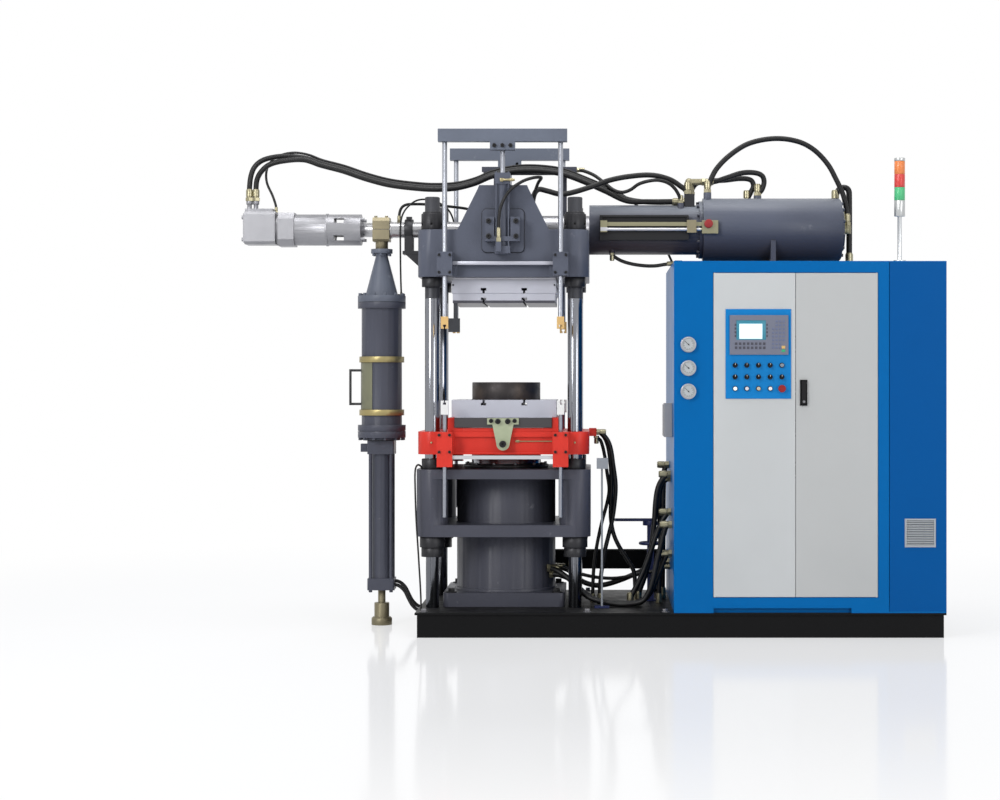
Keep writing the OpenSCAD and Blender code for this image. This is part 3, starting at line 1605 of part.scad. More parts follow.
// Hoses between stuffer and base, and between beam, deck and cabinet
module bed_hoses() {
    color([0.08, 0.08, 0.08]) {
        hose(stuffer_route_a, thin_r + 3);
        hose(stuffer_route_b, thin_r + 3);
        hose(beam_route_a, thin_r + 5);
        hose(beam_route_b, thin_r + 5);
        hose(beam_route_c, thin_r + 3);
        hose(cabinet_route_a, hose_r);
        hose(cabinet_route_b, hose_r);
        hose(cabinet_route_c, thin_r + 5);
        hose(cabinet_route_d, hose_r);
        hose(deck_route_a, hose_r);
        hose(deck_route_b, hose_r);
        hose(deck_route_c, thin_r + 3);
        hose(deck_route_d, hose_r);
        hose(bed_cable, thin_r - 2);
    }
}

base_frame();
main_cylinder();
lower_bed();
ram_gland();
tie_columns();
column_nuts();
upper_head();
upper_heat_platen();
upper_mould_plate();
head_guide_blocks();
lift_cylinders();
hose_shelf();
extruder_motor();
extruder_gearbox();
extruder_barrel();
feed_block();
barrel_clamp();
stuffer_cone();
stuffer_barrel();
stuffer_bands();
stuffer_cylinder();
stuffer_foot();
injection_cylinder();
drive_housing();
housing_saddle();
scale_cover();
scale_rail();
valve_block();
cabinet_shell();
service_panel();
pressure_gauges();
junction_box();
beacon_stem();
beacon_lenses();
cable_trough();
service_stand();
oil_tank();
electrical_plate();
screw_shaft();
stuffer_ram();
stuffer_shutter();
moving_beam();
main_ram();
slide_rails();
lower_heat_platen();
pull_bracket();
mould_block();
scale_carriage();
lift_crossbars();
lift_rods();
lower_lift_rods();
left_door();
right_door();
door_handle();
control_panel();
selector_knobs();
stop_button();
motor_hoses();
line_hoses();
bed_hoses();
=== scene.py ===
import math

import bmesh
import bpy
from mathutils import Matrix, Vector


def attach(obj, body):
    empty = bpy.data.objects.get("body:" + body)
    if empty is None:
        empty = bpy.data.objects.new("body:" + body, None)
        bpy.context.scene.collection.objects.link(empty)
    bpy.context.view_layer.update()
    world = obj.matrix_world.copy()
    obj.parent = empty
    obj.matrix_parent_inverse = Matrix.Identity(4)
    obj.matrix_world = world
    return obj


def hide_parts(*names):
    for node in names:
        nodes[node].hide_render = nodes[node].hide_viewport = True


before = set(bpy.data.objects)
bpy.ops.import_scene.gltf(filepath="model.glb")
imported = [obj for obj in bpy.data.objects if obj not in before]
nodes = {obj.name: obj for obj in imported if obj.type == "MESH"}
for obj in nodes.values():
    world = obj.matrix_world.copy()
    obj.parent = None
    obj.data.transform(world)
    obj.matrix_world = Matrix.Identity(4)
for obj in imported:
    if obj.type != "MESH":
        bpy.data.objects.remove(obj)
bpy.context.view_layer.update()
collection = bpy.context.scene.collection

# camera
# A level camera in front of the press, as the photograph has it, with its lens shifted to bring
# the machine into the middle of the picture.
camera_data = bpy.data.cameras.new("camera")
camera_data.lens = 76.3
camera_data.sensor_width = 36.0
camera_data.shift_x = -0.095
camera_data.shift_y = -0.014
camera_data.clip_end = 60.0
camera = bpy.data.objects.new("camera", camera_data)
camera.location = (0.502, -12.0, 1.35)
camera.rotation_euler = (math.radians(90), 0, 0)
collection.objects.link(camera)
bpy.context.scene.camera = camera

# base
# Skid base of welded channels under a deck plate, painted black. The whole machine is bolted to
# it, so its top is scuffed and holds dust.


class Tree:
    """The nodes that make up one finish or the background."""

    def __init__(self, owner):
        owner.use_nodes = True
        self.nodes = owner.node_tree.nodes
        self.links = owner.node_tree.links

    def feed(self, node, sockets):
        """Gives each named socket of a node its value, or a link where the value is a Shade."""
        for name, value in sockets.items():
            if isinstance(value, Shade):
                self.links.new(value.socket, node.inputs[name])
            else:
                node.inputs[name].default_value = value

    def add(self, kind, output, sockets=None, **settings):
        """Makes a node with its settings, feeds its sockets and gives back one of its outputs."""
        node = self.nodes.new(kind)
        for name, value in settings.items():
            setattr(node, name, value)
        self.feed(node, sockets or {})
        return Shade(self, node.outputs[output])


class Shade:
    """A value inside a finish: it adds, subtracts and multiplies as a number does."""

    def __init__(self, tree, socket):
        self.tree = tree
        self.socket = socket

    def maths(self, operation, *values):
        """Puts the value, and others behind it, through one Math node."""
        sockets = dict(enumerate((self,) + values))
        return self.tree.add("ShaderNodeMath", 0, sockets, operation=operation)

    def __add__(self, other):
        return self.maths("ADD", other)

    def __sub__(self, other):
        return self.maths("SUBTRACT", other)

    def __rsub__(self, other):
        return self.maths("MULTIPLY", -1.0) + other

    def __mul__(self, other):
        return self.maths("MULTIPLY", other)

    __radd__ = __add__
    __rmul__ = __mul__

    def over(self, limit):
        return self.maths("GREATER_THAN", limit)

    def under(self, limit):
        return self.maths("LESS_THAN", limit)

    def between(self, low, high):
        return self.over(low) * self.under(high)

    def sine(self):
        return self.maths("SINE")

    def size(self):
        return self.maths("ABSOLUTE")

    def past(self, limit):
        """How far the value's size lies past the limit, or 0."""
        return (self.size() - limit).maths("MAXIMUM", 0.0)

    def root(self):
        return self.maths("SQRT")

    def clear(self, low, high):
        """0 below low and 1 above high, with a soft step between."""
        return self.tree.add("ShaderNodeMapRange", "Result",
                             {"Value": self, "From Min": low, "From Max": high},
                             interpolation_type="SMOOTHSTEP")


def linear(rgb):
    """A colour as a screen shows it, 0 to 255, turned into light, with an alpha of 1."""
    return (*(c / 255 / 12.92 if c <= 10 else ((c / 255 + 0.055) / 1.055) ** 2.4 for c in rgb), 1)


class Finish:
    """A material whose colour, roughness and relief are made from positions on the piece."""

    def __init__(self, name, rgb, rough=0.5, metal=0.0, coat=0.0, gloss=0.5):
        self.material = bpy.data.materials.new(name)
        self.material.diffuse_color = linear(rgb)
        self.tree = Tree(self.material)
        self.shader = self.tree.nodes["Principled BSDF"]
        self.colour = linear(rgb)
        self.raised = None
        self.place = self.tree.add("ShaderNodeTexCoord", "Object")
        self.tree.feed(self.shader, {
            "Base Color": self.colour, "Roughness": rough, "Metallic": metal, "Coat Weight": coat,
            "Coat Roughness": 0.25, "Specular IOR Level": gloss})

    def noise(self, scale, detail=2.0, stretch=None):
        """Cloudy values between 0 and 1; stretch is how many times closer they lie on each axis."""
        place = self.place
        if stretch:
            sockets = {"Vector": place, "Scale": stretch}
            place = self.tree.add("ShaderNodeMapping", "Vector", sockets)
        sockets = {"Vector": place, "Scale": scale, "Detail": detail}
        return self.tree.add("ShaderNodeTexNoise", "Fac", sockets)

    def axis(self, letter):
        """Where on the piece the surface is along an axis, in metres."""
        return self.tree.add("ShaderNodeSeparateXYZ", letter, {0: self.place})

    def facing(self, letter):
        """How far the surface faces along an axis of the piece, from -1 to 1."""
        normal = self.tree.add("ShaderNodeTexCoord", "Normal")
        return self.tree.add("ShaderNodeSeparateXYZ", letter, {0: normal})

    def blend(self, where, rgb):
        """Turns the colour towards rgb where the value is 1."""
        self.colour = self.tree.add("ShaderNodeMix", "Result",
                                    {"Factor": where, "A": self.colour, "B": linear(rgb)},
                                    data_type="RGBA")
        return self.vary("Base Color", self.colour)

    def vary(self, socket, value):
        """Feeds one socket of the shader."""
        self.tree.feed(self.shader, {socket: value})
        return self

    def relief(self, value, depth):
        """Raises the surface by value times depth, on top of any relief before."""
        sockets = {"Strength": 1.0, "Distance": depth, "Height": value}
        if self.raised:
            sockets["Normal"] = self.raised
        self.raised = self.tree.add("ShaderNodeBump", "Normal", sockets)
        return self.vary("Normal", self.raised)


def dress(node, finish, edge=0.0015):
    """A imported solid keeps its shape: its edges are broken slightly, and it gets its finish."""
    solid = nodes[node]
    solid.data.materials.clear()
    solid.data.materials.append(finish.material)
    if edge:
        weld = solid.modifiers.new("weld", "WELD")
        weld.merge_threshold = 0.00002
        flat = solid.modifiers.new("flat", "DECIMATE")
        flat.decimate_type = "DISSOLVE"
        flat.angle_limit = math.radians(1)
        rim = solid.modifiers.new("edge", "BEVEL")
        rim.width = edge
        rim.segments = 2
        rim.limit_method = "ANGLE"
        rim.angle_limit = math.radians(50)
        rim.harden_normals = True


def make_piece(mesh, name, finish, body):
    """Turns a bmesh into a piece of the machine that rides on a body."""
    bmesh.ops.recalc_face_normals(mesh, faces=mesh.faces[:])
    data = bpy.data.meshes.new(name)
    mesh.to_mesh(data)
    mesh.free()
    data.materials.append(finish.material)
    data.shade_smooth()
    data.set_sharp_from_angle(angle=math.radians(35))
    piece = bpy.data.objects.new(name, data)
    collection.objects.link(piece)
    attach(piece, body)


def slab(mesh, x0, x1, y0, y1, z0, z1, round_off=0.8):
    """A plate or bar with broken edges, its corners in millimetres."""
    centre = Vector((x0 + x1, y0 + y1, z0 + z1)) / 2000
    size = Matrix.Diagonal(((x1 - x0) / 1000, (y1 - y0) / 1000, (z1 - z0) / 1000, 1))
    made = bmesh.ops.create_cube(mesh, size=1, matrix=Matrix.Translation(centre) @ size)
    edges = list({e for v in made["verts"] for e in v.link_edges})
    if round_off:
        bmesh.ops.bevel(mesh, geom=edges, offset=round_off / 1000, segments=2, profile=0.5,
                        affect="EDGES", material=-1)


up, forward = (0, 0, 1), (0, -1, 0)


def disc(mesh, at, axis, radius, height, sides=32, round_off=0.5):
    """A turned disc or rod that stands on the point at, in millimetres, along the axis."""
    turn = Vector(up).rotation_difference(Vector(axis)).to_matrix().to_4x4()
    seat = Matrix.Translation(Vector(at) / 1000) @ turn @ Matrix.Translation((0, 0, height / 2000))
    made = bmesh.ops.create_cone(mesh, cap_ends=True, segments=sides, radius1=radius / 1000,
                                 radius2=radius / 1000, depth=height / 1000, matrix=seat)
    if round_off:
        rims = {e for v in made["verts"] for e in v.link_edges
                if any(len(f.verts) > 4 for f in e.link_faces)}
        bmesh.ops.bevel(mesh, geom=list(rims), offset=round_off / 1000, segments=2, profile=0.5,
                        affect="EDGES", material=-1)


def bolts(name, places, size, axis, finish, body, hexagon=False):
    """Heads of like screws, their seats at places in millimetres. Cap heads have a socket."""
    mesh = bmesh.new()
    out = Vector(axis)
    tall = size * (1.2 if hexagon else 1.6)
    for place in places:
        if hexagon:
            disc(mesh, place, axis, size * 1.5, size * 0.25, 24, 0.3)
        before = set(mesh.faces)
        disc(mesh, place, axis, size, tall, 6 if hexagon else 20, size * 0.1)
        caps = [f for f in mesh.faces if f not in before]
        cap = max(caps, key=lambda f: (f.calc_center_median().dot(out), f.calc_area()))
        if not hexagon:
            bmesh.ops.inset_region(mesh, faces=[cap], thickness=size * 0.45 / 1000, depth=0)
            sunk = bmesh.ops.extrude_discrete_faces(mesh, faces=[cap])["faces"]
            bmesh.ops.translate(mesh, verts=list({v for f in sunk for v in f.verts}),
                                vec=-out * size * 0.7 / 1000)
    make_piece(mesh, name, finish, body)


base_black = Finish("base_black", (15, 15, 16), rough=0.5, gloss=0.1)
dust = base_black.facing("Z").clear(0.6, 0.95) * base_black.noise(7, 4).clear(0.35, 0.75)
base_black.blend(dust * 0.25, (52, 52, 50)).vary("Roughness", base_black.noise(18, 3) * 0.35 + 0.3)
base_black.relief(base_black.noise(90, 3), 0.0006)
dress("base_frame", base_black)
dress("cable_trough", base_black)
steel_bolt = Finish("steel_bolt", (120, 120, 124), rough=0.35, metal=0.9)
black_bolt = Finish("black_bolt", (34, 34, 36), rough=0.45, metal=0.6)
bolts("anchor_bolts", [(x, y, 134) for x in (-420, 460, 880) for y in (-600, 600)], 15, up,
      steel_bolt, "root", hexagon=True)

# clamp cylinder and lower bed
# Cast clamp cylinder that stands on the base and is held in the lower bed, both in dark blue-grey
# machine paint over a slightly uneven casting skin. Both take a darker copy of the paint, which is
# painted shade.


def machine_paint(name, rgb, worn=(150, 152, 158)):
    """Sprayed enamel on iron: low orange peel, darker where oily dust settles."""
    paint = Finish(name, rgb, rough=0.42, coat=0.05, gloss=0.22)
    dirt = paint.noise(2.6, 4).clear(0.45, 0.8) * 0.35
    paint.blend(dirt, tuple(c * 0.72 for c in rgb))
    scuff = paint.noise(14, 6).clear(0.66, 0.74) * paint.noise(55, 3).clear(0.4, 0.7)
    paint.blend(scuff * 0.30, worn)
    paint.vary("Roughness", paint.noise(11, 3) * 0.22 + 0.30)
    paint.relief(paint.noise(70, 3), 0.0007)
    return paint


grey_paint = machine_paint("grey_paint", (84, 88, 101))
dark_paint = machine_paint("dark_grey_paint", (74, 76, 87))
# Darker copy of the grey machine paint for the bed and the clamp cylinder: painted shade.
shaded_bed_paint = machine_paint("shaded_bed_paint", (70, 71, 81))
pale_paint = machine_paint("crossbar_paint", (100, 106, 119))
side = grey_paint.axis("X").past(0.090)
rise = (grey_paint.axis("Z") - 2.198).past(0.093)
reach = (side * side + rise * rise).root()
groove = reach.between(0.0235, 0.0285) * grey_paint.axis("Y").size().under(0.4379)
grey_paint.blend(groove * 0.8, (24, 25, 30))
for node in ("upper_head", "lift_cylinders", "head_guide_blocks"):
    dress(node, grey_paint, 0.0025)
dress("main_cylinder", shaded_bed_paint, 0.0025)
dress("lower_bed", shaded_bed_paint, 0.0025)
dress("lift_crossbars", pale_paint, 0.0025)
height = dark_paint.axis("Z")
seam = height.between(1.8212, 1.8268) + height.between(1.0412, 1.0468)
dark_paint.blend(seam * dark_paint.axis("X").under(-0.5), (28, 29, 34))
for node in ("stuffer_barrel", "stuffer_cylinder", "housing_saddle", "hose_shelf", "oil_tank"):
    dress(node, dark_paint, 0.0018)
cone_paint = machine_paint("cone_paint", (98, 103, 115))
dress("stuffer_cone", cone_paint, 0.0018)
dark_steel = Finish("dark_steel", (44, 44, 47), rough=0.42, metal=0.55)
dark_steel.vary("Roughness", dark_steel.noise(24, 3) * 0.3 + 0.28)
dark_steel.relief(dark_steel.noise(160, 2), 0.0003)
for node in ("ram_gland", "column_nuts", "barrel_clamp"):
    dress(node, dark_steel, 0.0018)
bolts("foot_bolts", [(x, y, 210) for x in (-291, 291) for y in (-291, 291)], 20, up,
      black_bolt, "root", hexagon=True)
bolts("gland_bolts", [(math.cos(a) * 228, math.sin(a) * 228, 909)
                      for a in (math.tau * (i + 0.5) / 12 for i in range(12))], 8, up,
      steel_bolt, "root")

# columns and ram
# Four tie columns, the clamp's ram and the stuffer's, turned and hard-chromed, so they mirror what
# stands round them. The columns are left dull just under the head and over it.
chrome = Finish("chrome", (134, 136, 142), rough=0.16, metal=1.0)
chrome.vary("Roughness", chrome.noise(30, 2, (1, 1, 0.06)) * 0.12 + 0.10)
dress("main_ram", chrome, 0.0012)
dress("stuffer_ram", chrome, 0.0012)
column_chrome = Finish("column_chrome", (134, 136, 142), rough=0.16, metal=1.0)
height = column_chrome.axis("Z")
dull = height.between(1.83, 1.894) + height.over(2.206)
# Below 0.45 m the chrome is blended darker: painted shade under the bed.
column_chrome.blend(height.under(0.45) * 0.6, (88, 90, 95)).blend(dull, (58, 59, 64))
column_chrome.vary("Metallic", dull * -0.6 + 1.0)
polish = column_chrome.noise(30, 2, (1, 1, 0.06)) * 0.12
column_chrome.vary("Roughness", polish + dull * 0.3 + 0.1)
dress("tie_columns", column_chrome, 0.0012)

# platens
# Ground steel heating platens with tee slots, an insulation board over the upper one, and the
# round lower half of a mould, browned by heat. Cartridge heaters are screwed in from the ends.
ground_steel = Finish("ground_steel", (180, 181, 191), rough=0.38, metal=0.45)
ground_steel.vary("Roughness", ground_steel.noise(60, 3, (0.08, 1, 5)) * 0.25 + 0.26)
ground_steel.blend(ground_steel.noise(5, 3).clear(0.5, 0.8) * 0.35, (158, 158, 166))
height = ground_steel.axis("Z")
board = height.between(1.9352, 1.948)
underside = height.between(1.8068, 1.8215)
stop_plate = height.between(1.60, 1.8068)
carriage_plate = height.under(1.1772)
ground_steel.blend(board, (206, 205, 212)).blend(underside, (72, 72, 80))
ground_steel.blend(stop_plate, (56, 58, 63)).blend(carriage_plate, (66, 64, 66))
for node in ("upper_heat_platen", "upper_mould_plate", "lower_heat_platen"):
    dress(node, ground_steel, 0.0015)
mesh = bmesh.new()
slab(mesh, -279, 279, -452, -436, 2011, 2030, 0.8)
make_piece(mesh, "head_tie_bar", ground_steel, "root")
corner_screws = [(s * 279, -325, 1906) for s in (-1, 1)]
side_screws = [(s * 288, y, 1900) for s in (-1, 1) for y in (-200, 0, 200)]
bolts("platen_screws", corner_screws + side_screws, 5, forward, black_bolt, "root")
mould_steel = Finish("mould_steel", (54, 50, 50), rough=0.5, metal=0.6)
mould_steel.blend(mould_steel.noise(9, 4).clear(0.42, 0.7), (80, 70, 64))
mould_steel.vary("Roughness", mould_steel.noise(30, 4) * 0.35 + 0.28)
mould_steel.relief(mould_steel.noise(120, 2, (1, 1, 0.2)), 0.0003)
dress("mould_block", mould_steel, 0.001)
mesh = bmesh.new()
for side in (-1, 1):
    for n in range(4):
        place = (side * 288, -220 + n * 146, 1226)
        disc(mesh, place, (side, 0, 0), 5, 6, 16, 0.6)
make_piece(mesh, "heater_ends", black_bolt, "carriage")

# moving beam
# Red painted casting that slides on the columns. It carries the slide rails, a tie bar between its
# guide blocks and a grease line; an olive plated bracket pulls the carriage out.
red_paint = machine_paint("red_paint", (208, 52, 40), (150, 60, 50))
across = red_paint.axis("X").size()
bar = red_paint.axis("Z").under(0.9745) * across.under(0.2728)
red_paint.blend(bar, (190, 190, 194)).vary("Metallic", bar * 0.85)
dress("moving_beam", red_paint, 0.003)
dress("slide_rails", red_paint, 0.002)
mesh = bmesh.new()
slab(mesh, -218.6, 218.6, -419, -401, 1099.5, 1121.5, 1)
make_piece(mesh, "rail_tie", red_paint, "platen")
guide_x = 315
for tail, side in (("", -1), ("_back", 1)):
    places = [(sx * guide_x + bx * 28, side * 504, z) for sx in (-1, 1) for bx in (-1, 1)
              for z in (992, 1084)]
    bolts("beam_guide_bolts" + tail, places, 8, (0, side, 0), black_bolt, "platen")
brass = Finish("brass", (158, 147, 112), rough=0.34, metal=0.8)
brass.vary("Roughness", brass.noise(40, 3) * 0.3 + 0.22)
mesh = bmesh.new()
disc(mesh, (84, -413, 1048), (1, 0, 0), 3, 184, 16, 0)
disc(mesh, (72, -413, 1048), (1, 0, 0), 8, 16, 6, 0.5)
disc(mesh, (66, -413, 1048), (1, 0, 0), 5, 8, 16, 0.5)
for s in (-1, 1):
    disc(mesh, (s * 392, -423, 1041), forward, 6, 5, 6, 0.4)
    disc(mesh, (s * 392, -427, 1041), forward, 3.4, 7, 16, 0.8)
make_piece(mesh, "grease_line", brass, "platen")


def zinc_plate(name, rgb, stain, scale, rough=0.42, metal=0.6, low=0.4, share=0.6):
    """Passivated zinc on steel: a thin colour that drifts towards a duller stain."""
    plate = Finish(name, rgb, rough=rough, metal=metal)
    return plate.blend(plate.noise(scale, 3).clear(low, 0.75) * share, stain)


olive_plate = zinc_plate("olive_plate", (172, 178, 150), (150, 160, 132), 8, metal=0.45, low=0.45)
dress("pull_bracket", olive_plate, 0.0015)
bolts("bracket_bolts", [(x, -447, 1157) for x in (-27, 27)], 15, forward, black_bolt, "carriage")
bolts("bracket_side_bolts", [(x, -447, 1160) for x in (-64, 64)], 12, forward, black_bolt,
      "carriage")
bolts("bracket_pin", [(0, -459, 1034)], 19, forward, black_bolt, "carriage")

# lift gear
# Cross bars, chromed rods and two hydraulic cylinders lift the upper mould half; brass latches
# grip it. Guide blocks are bolted to the head with cap screws.
for tail, side in (("", -1), ("_back", 1)):
    places = [(sx * guide_x + bx * 30, side * 506, 2014 + bz * 46) for sx in (-1, 1)
              for bx in (-1, 1) for bz in (-1, 1)]
    bolts("head_guide_bolts" + tail, places, 7, (0, side, 0), black_bolt, "root")
for tail, side in (("front", -1), ("back", 1)):
    places = [(sx * 74, side * 522, z) for sx in (-1, 1) for z in (2161, 2243)]
    bolts("lift_plate_bolts_" + tail, places, 14, (0, side, 0), black_bolt, "root")
    bolts("hanger_bolts_" + tail, [(x, side * 508, 2654.5) for x in (-44, 0, 44)], 11, (0, side, 0),
          black_bolt, "lift")
mesh = bmesh.new()
disc(mesh, (-6, -530, 2466), (1, 0, 0), 8, 16, 6, 0.5)
disc(mesh, (8, -530, 2466), (1, 0, 0), 6, 60, 20, 0.5)
disc(mesh, (40, -530, 2466), (1, 0, 0), 9, 20, 6, 0.5)
slab(mesh, -12, 4, -538, -520, 2457, 2475)
make_piece(mesh, "lift_fitting", brass, "root")
gripped = Finish("rod_chrome", (156, 159, 167), rough=0.3, metal=0.85)
gripped.vary("Roughness", gripped.noise(30, 2, (1, 1, 0.06)) * 0.14 + 0.26)
height = gripped.axis("Z")
gripped.blend(height.between(1.6605, 1.7275), (214, 178, 120))
gripped.blend(height.between(1.194, 1.2708), (226, 226, 226))
dress("lift_rods", gripped, 0.001)
dress("lower_lift_rods", gripped, 0.001)

# extruder
# Cast aluminium hydraulic motor and gearbox on the end of the screw barrel, joined by a lantern
# through whose windows the shaft shows. The feed block is yellow plated.
aluminium = Finish("aluminium", (150, 150, 154), rough=0.42, metal=0.7, gloss=0.3)
aluminium.blend(aluminium.noise(6, 4).clear(0.45, 0.75) * 0.5, (122, 123, 128))
aluminium.vary("Roughness", aluminium.noise(16, 4) * 0.3 + 0.26)
aluminium.relief(aluminium.noise(110, 3), 0.0006)
for node in ("extruder_motor", "extruder_gearbox", "junction_box"):
    dress(node, aluminium, 0.002)
barrel_steel = Finish("barrel_steel", (176, 176, 178), rough=0.3, metal=0.85)
barrel_steel.vary("Roughness", barrel_steel.noise(50, 2, (0.2, 1, 1)) * 0.2 + 0.2)
dress("extruder_barrel", barrel_steel, 0.0015)
dress("screw_shaft", barrel_steel, 0.001)
plated = zinc_plate("yellow_plate", (160, 146, 100), (128, 120, 88), 7, rough=0.4, metal=0.7)
plated.vary("Roughness", plated.noise(30, 3) * 0.3 + 0.25)
feed_plate = zinc_plate("feed_plate", (138, 129, 104), (112, 106, 88), 8)
dress("feed_block", feed_plate, 0.002)
foot_plate = zinc_plate("foot_plate", (126, 118, 94), (100, 96, 80), 9, rough=0.45)
dress("stuffer_foot", foot_plate, 0.002)

# stuffer
# Vertical cylinder that pushes strips of rubber up into the extruder, with plated bands that hold
# the loading shutter, bolted flanges and a screw jack under it.
dress("stuffer_bands", plated, 0.001)
shutter_plate = zinc_plate("shutter_plate", (120, 120, 98), (96, 98, 84), 12, metal=0.5,
                           low=0.45, share=0.5)
grip = shutter_plate.axis("X").under(-0.8165)
shutter_plate.blend(grip, (26, 26, 28)).vary("Metallic", grip * -0.4 + 0.5)
dress("stuffer_shutter", shutter_plate, 0.001)

# injection unit
# Injection cylinder and its drive housing, lying on one axis with the extruder. The linear scale
# in front shows where the plunger is.
neck_paint = machine_paint("neck_paint", (74, 76, 87))
# The cylinder is darkened towards its bottom: painted shade.
neck_paint.blend(1 - neck_paint.axis("Z").clear(2.10, 2.24), (58, 52, 56))
# Surfaces facing up are lightened: painted highlight.
neck_paint.blend(neck_paint.facing("Z").clear(0.3, 0.9) * 0.45, (150, 156, 164))
neck = neck_paint.axis("X").under(0.4695)
neck_paint.blend(neck, (176, 176, 180)).vary("Metallic", neck * 0.9)
dress("injection_cylinder", neck_paint, 0.0018)
housing_paint = machine_paint("housing_paint", (84, 88, 101))
# The housing is darkened towards its bottom: painted shade.
housing_paint.blend(1 - housing_paint.axis("Z").clear(2.08, 2.26), (72, 66, 68))
# Surfaces facing up are lightened: painted highlight.
housing_paint.blend(housing_paint.facing("Z").clear(0.35, 0.9) * 0.35, (150, 154, 160))
elbow = housing_paint.axis("X").over(1.9035)
housing_paint.blend(elbow, (132, 128, 104)).vary("Metallic", elbow * 0.7)
dress("drive_housing", housing_paint, 0.0025)
valve_steel = Finish("valve_steel", (40, 40, 43), rough=0.42, metal=0.5)
elbow = valve_steel.axis("Z").over(2.4335)
valve_steel.blend(elbow, (140, 134, 108)).vary("Roughness", valve_steel.noise(24, 3) * 0.3 + 0.28)
dress("valve_block", valve_steel, 0.0018)
dress("scale_cover", black_bolt, 0.002)
rail_plate = Finish("rail_plate", (142, 138, 112), rough=0.4, metal=0.7)
height = rail_plate.axis("Z")
rod = height.between(2.2135, 2.2335) * rail_plate.axis("X").between(0.5, 1.09)
rail_plate.blend(rod, (196, 196, 200))
rail_plate.vary("Roughness", rail_plate.noise(40, 3) * 0.25 + 0.25)
dress("scale_rail", rail_plate, 0.001)
dress("scale_carriage", feed_plate, 0.001)
red_knob = Finish("red_knob", (150, 44, 44), rough=0.45, gloss=0.3)
mesh = bmesh.new()
disc(mesh, (1134, -204, 2253), forward, 24, 20, 40, 3)
make_piece(mesh, "lock_knob", red_knob, "root")

# cabinet
# Sheet steel cabinet in bright blue enamel, with light grey doors and a deeper blue service panel.
# Its roof carries the injection unit.


def sheet_paint(name, rgb, rough=0.34):
    """Powder enamel on folded sheet: even colour, fine orange peel, a clear gloss."""
    paint = Finish(name, rgb, rough=rough, gloss=0.08)
    paint.blend(paint.noise(1.3, 3).clear(0.4, 0.8) * 0.18, tuple(c * 0.86 for c in rgb))
    paint.vary("Roughness", paint.noise(5, 3) * 0.12 + rough - 0.05)
    paint.relief(paint.noise(160, 2), 0.0003)
    return paint


blue_paint = sheet_paint("blue_paint", (0, 96, 162))
deep_blue = sheet_paint("deep_blue_paint", (0, 80, 146))
light_paint = sheet_paint("light_paint", (190, 192, 192))
dress("cabinet_shell", blue_paint, 0.0015)
vent = deep_blue.axis("X").between(2.1605, 2.3275) * deep_blue.axis("Z").between(0.486, 0.6395)
deep_blue.blend(vent, (168, 172, 176))
dress("service_panel", deep_blue, 0.0008)
dress("left_door", light_paint, 0.0012)
door_paint = sheet_paint("right_door_paint", (181, 182, 181))
lock_plate = door_paint.axis("X").between(1.5995, 1.6385) * door_paint.axis("Y").under(-0.6502)
door_paint.blend(lock_plate, (24, 24, 26))
dress("right_door", door_paint, 0.0012)
black_plastic = Finish("black_plastic", (18, 18, 20), rough=0.4, gloss=0.2)
black_plastic.relief(black_plastic.noise(300, 2), 0.0002)
dress("door_handle", black_plastic, 0.0015)
mesh = bmesh.new()
disc(mesh, (1619, -672, 1266), forward, 7, 2, 24, 0.5)
slab(mesh, 1618, 1620, -674.6, -673.5, 1261, 1271, 0)
make_piece(mesh, "door_lock", steel_bolt, "handle")
plate_finish = Finish("plate_zinc", (196, 196, 190), rough=0.45, metal=0.4)
dress("electrical_plate", plate_finish, 0.001)
ducts = bmesh.new()
fronts = bmesh.new()
for row in range(4):
    z = 834 + row * 230
    slab(ducts, 1235, 2035, -376, -320, z + 134, z + 206, 1.5)
    for n in range(7):
        x = 1245 + n * 112
        slab(fronts, x + 6, x + 84, -394, -390, z + 30, z + 80, 1)
        for screw in range(3):
            for end in (14, 96):
                disc(fronts, (x + 18 + screw * 27, -390, z + end), forward, 5, 2, 16, 0.4)
make_piece(ducts, "wiring_ducts", light_paint, "root")
make_piece(fronts, "contactor_fronts", black_plastic, "root")

# controls
# Operator panel: blue front plate, grey terminal with a lit screen and rubber keys, selector
# switches, push buttons, and three pressure gauges beside the doors.
panel_blue = Finish("panel_blue", (14, 120, 188), rough=0.38, gloss=0.15)
terminal = panel_blue.axis("X").between(1.2226, 1.5364)
terminal = terminal * panel_blue.axis("Z").between(1.5176, 1.7294)
panel_blue.blend(terminal * panel_blue.axis("Y").under(-0.6552), (114, 117, 131))
dress("control_panel", panel_blue, 0.0008)
dress("selector_knobs", black_plastic, 0.0008)
red_plastic = Finish("red_plastic", (138, 26, 28), rough=0.35, gloss=0.3)
dress("stop_button", red_plastic, 0.002)
screen_frame = Finish("screen_frame", (44, 128, 150), rough=0.4)
mesh = bmesh.new()
slab(mesh, 1258, 1416, -664.2, -663.0, 1597, 1701, 0.2)
make_piece(mesh, "screen_frame", screen_frame, "door_left")
screen_lit = Finish("screen_lit", (214, 240, 246), rough=0.15)
glow = screen_lit.tree.add("ShaderNodeMix", "Result", {
    "Factor": screen_lit.axis("Z").clear(1.60, 1.69), "A": linear((230, 246, 255)),
    "B": linear((190, 230, 246))}, data_type="RGBA")
screen_lit.vary("Emission Color", glow).vary("Emission Strength", 0.35)
mesh = bmesh.new()
slab(mesh, 1274, 1397, -665.2, -664.0, 1602, 1683, 0.2)
make_piece(mesh, "screen_glass", screen_lit, "door_left")
terminal_front = -666.8


def key(mesh, x, z, wide, high, rise=1.8):
    """One rubber key of the terminal, from its lower left corner."""
    slab(mesh, x, x + wide, terminal_front - rise, terminal_front, z, z + high, 0.4)


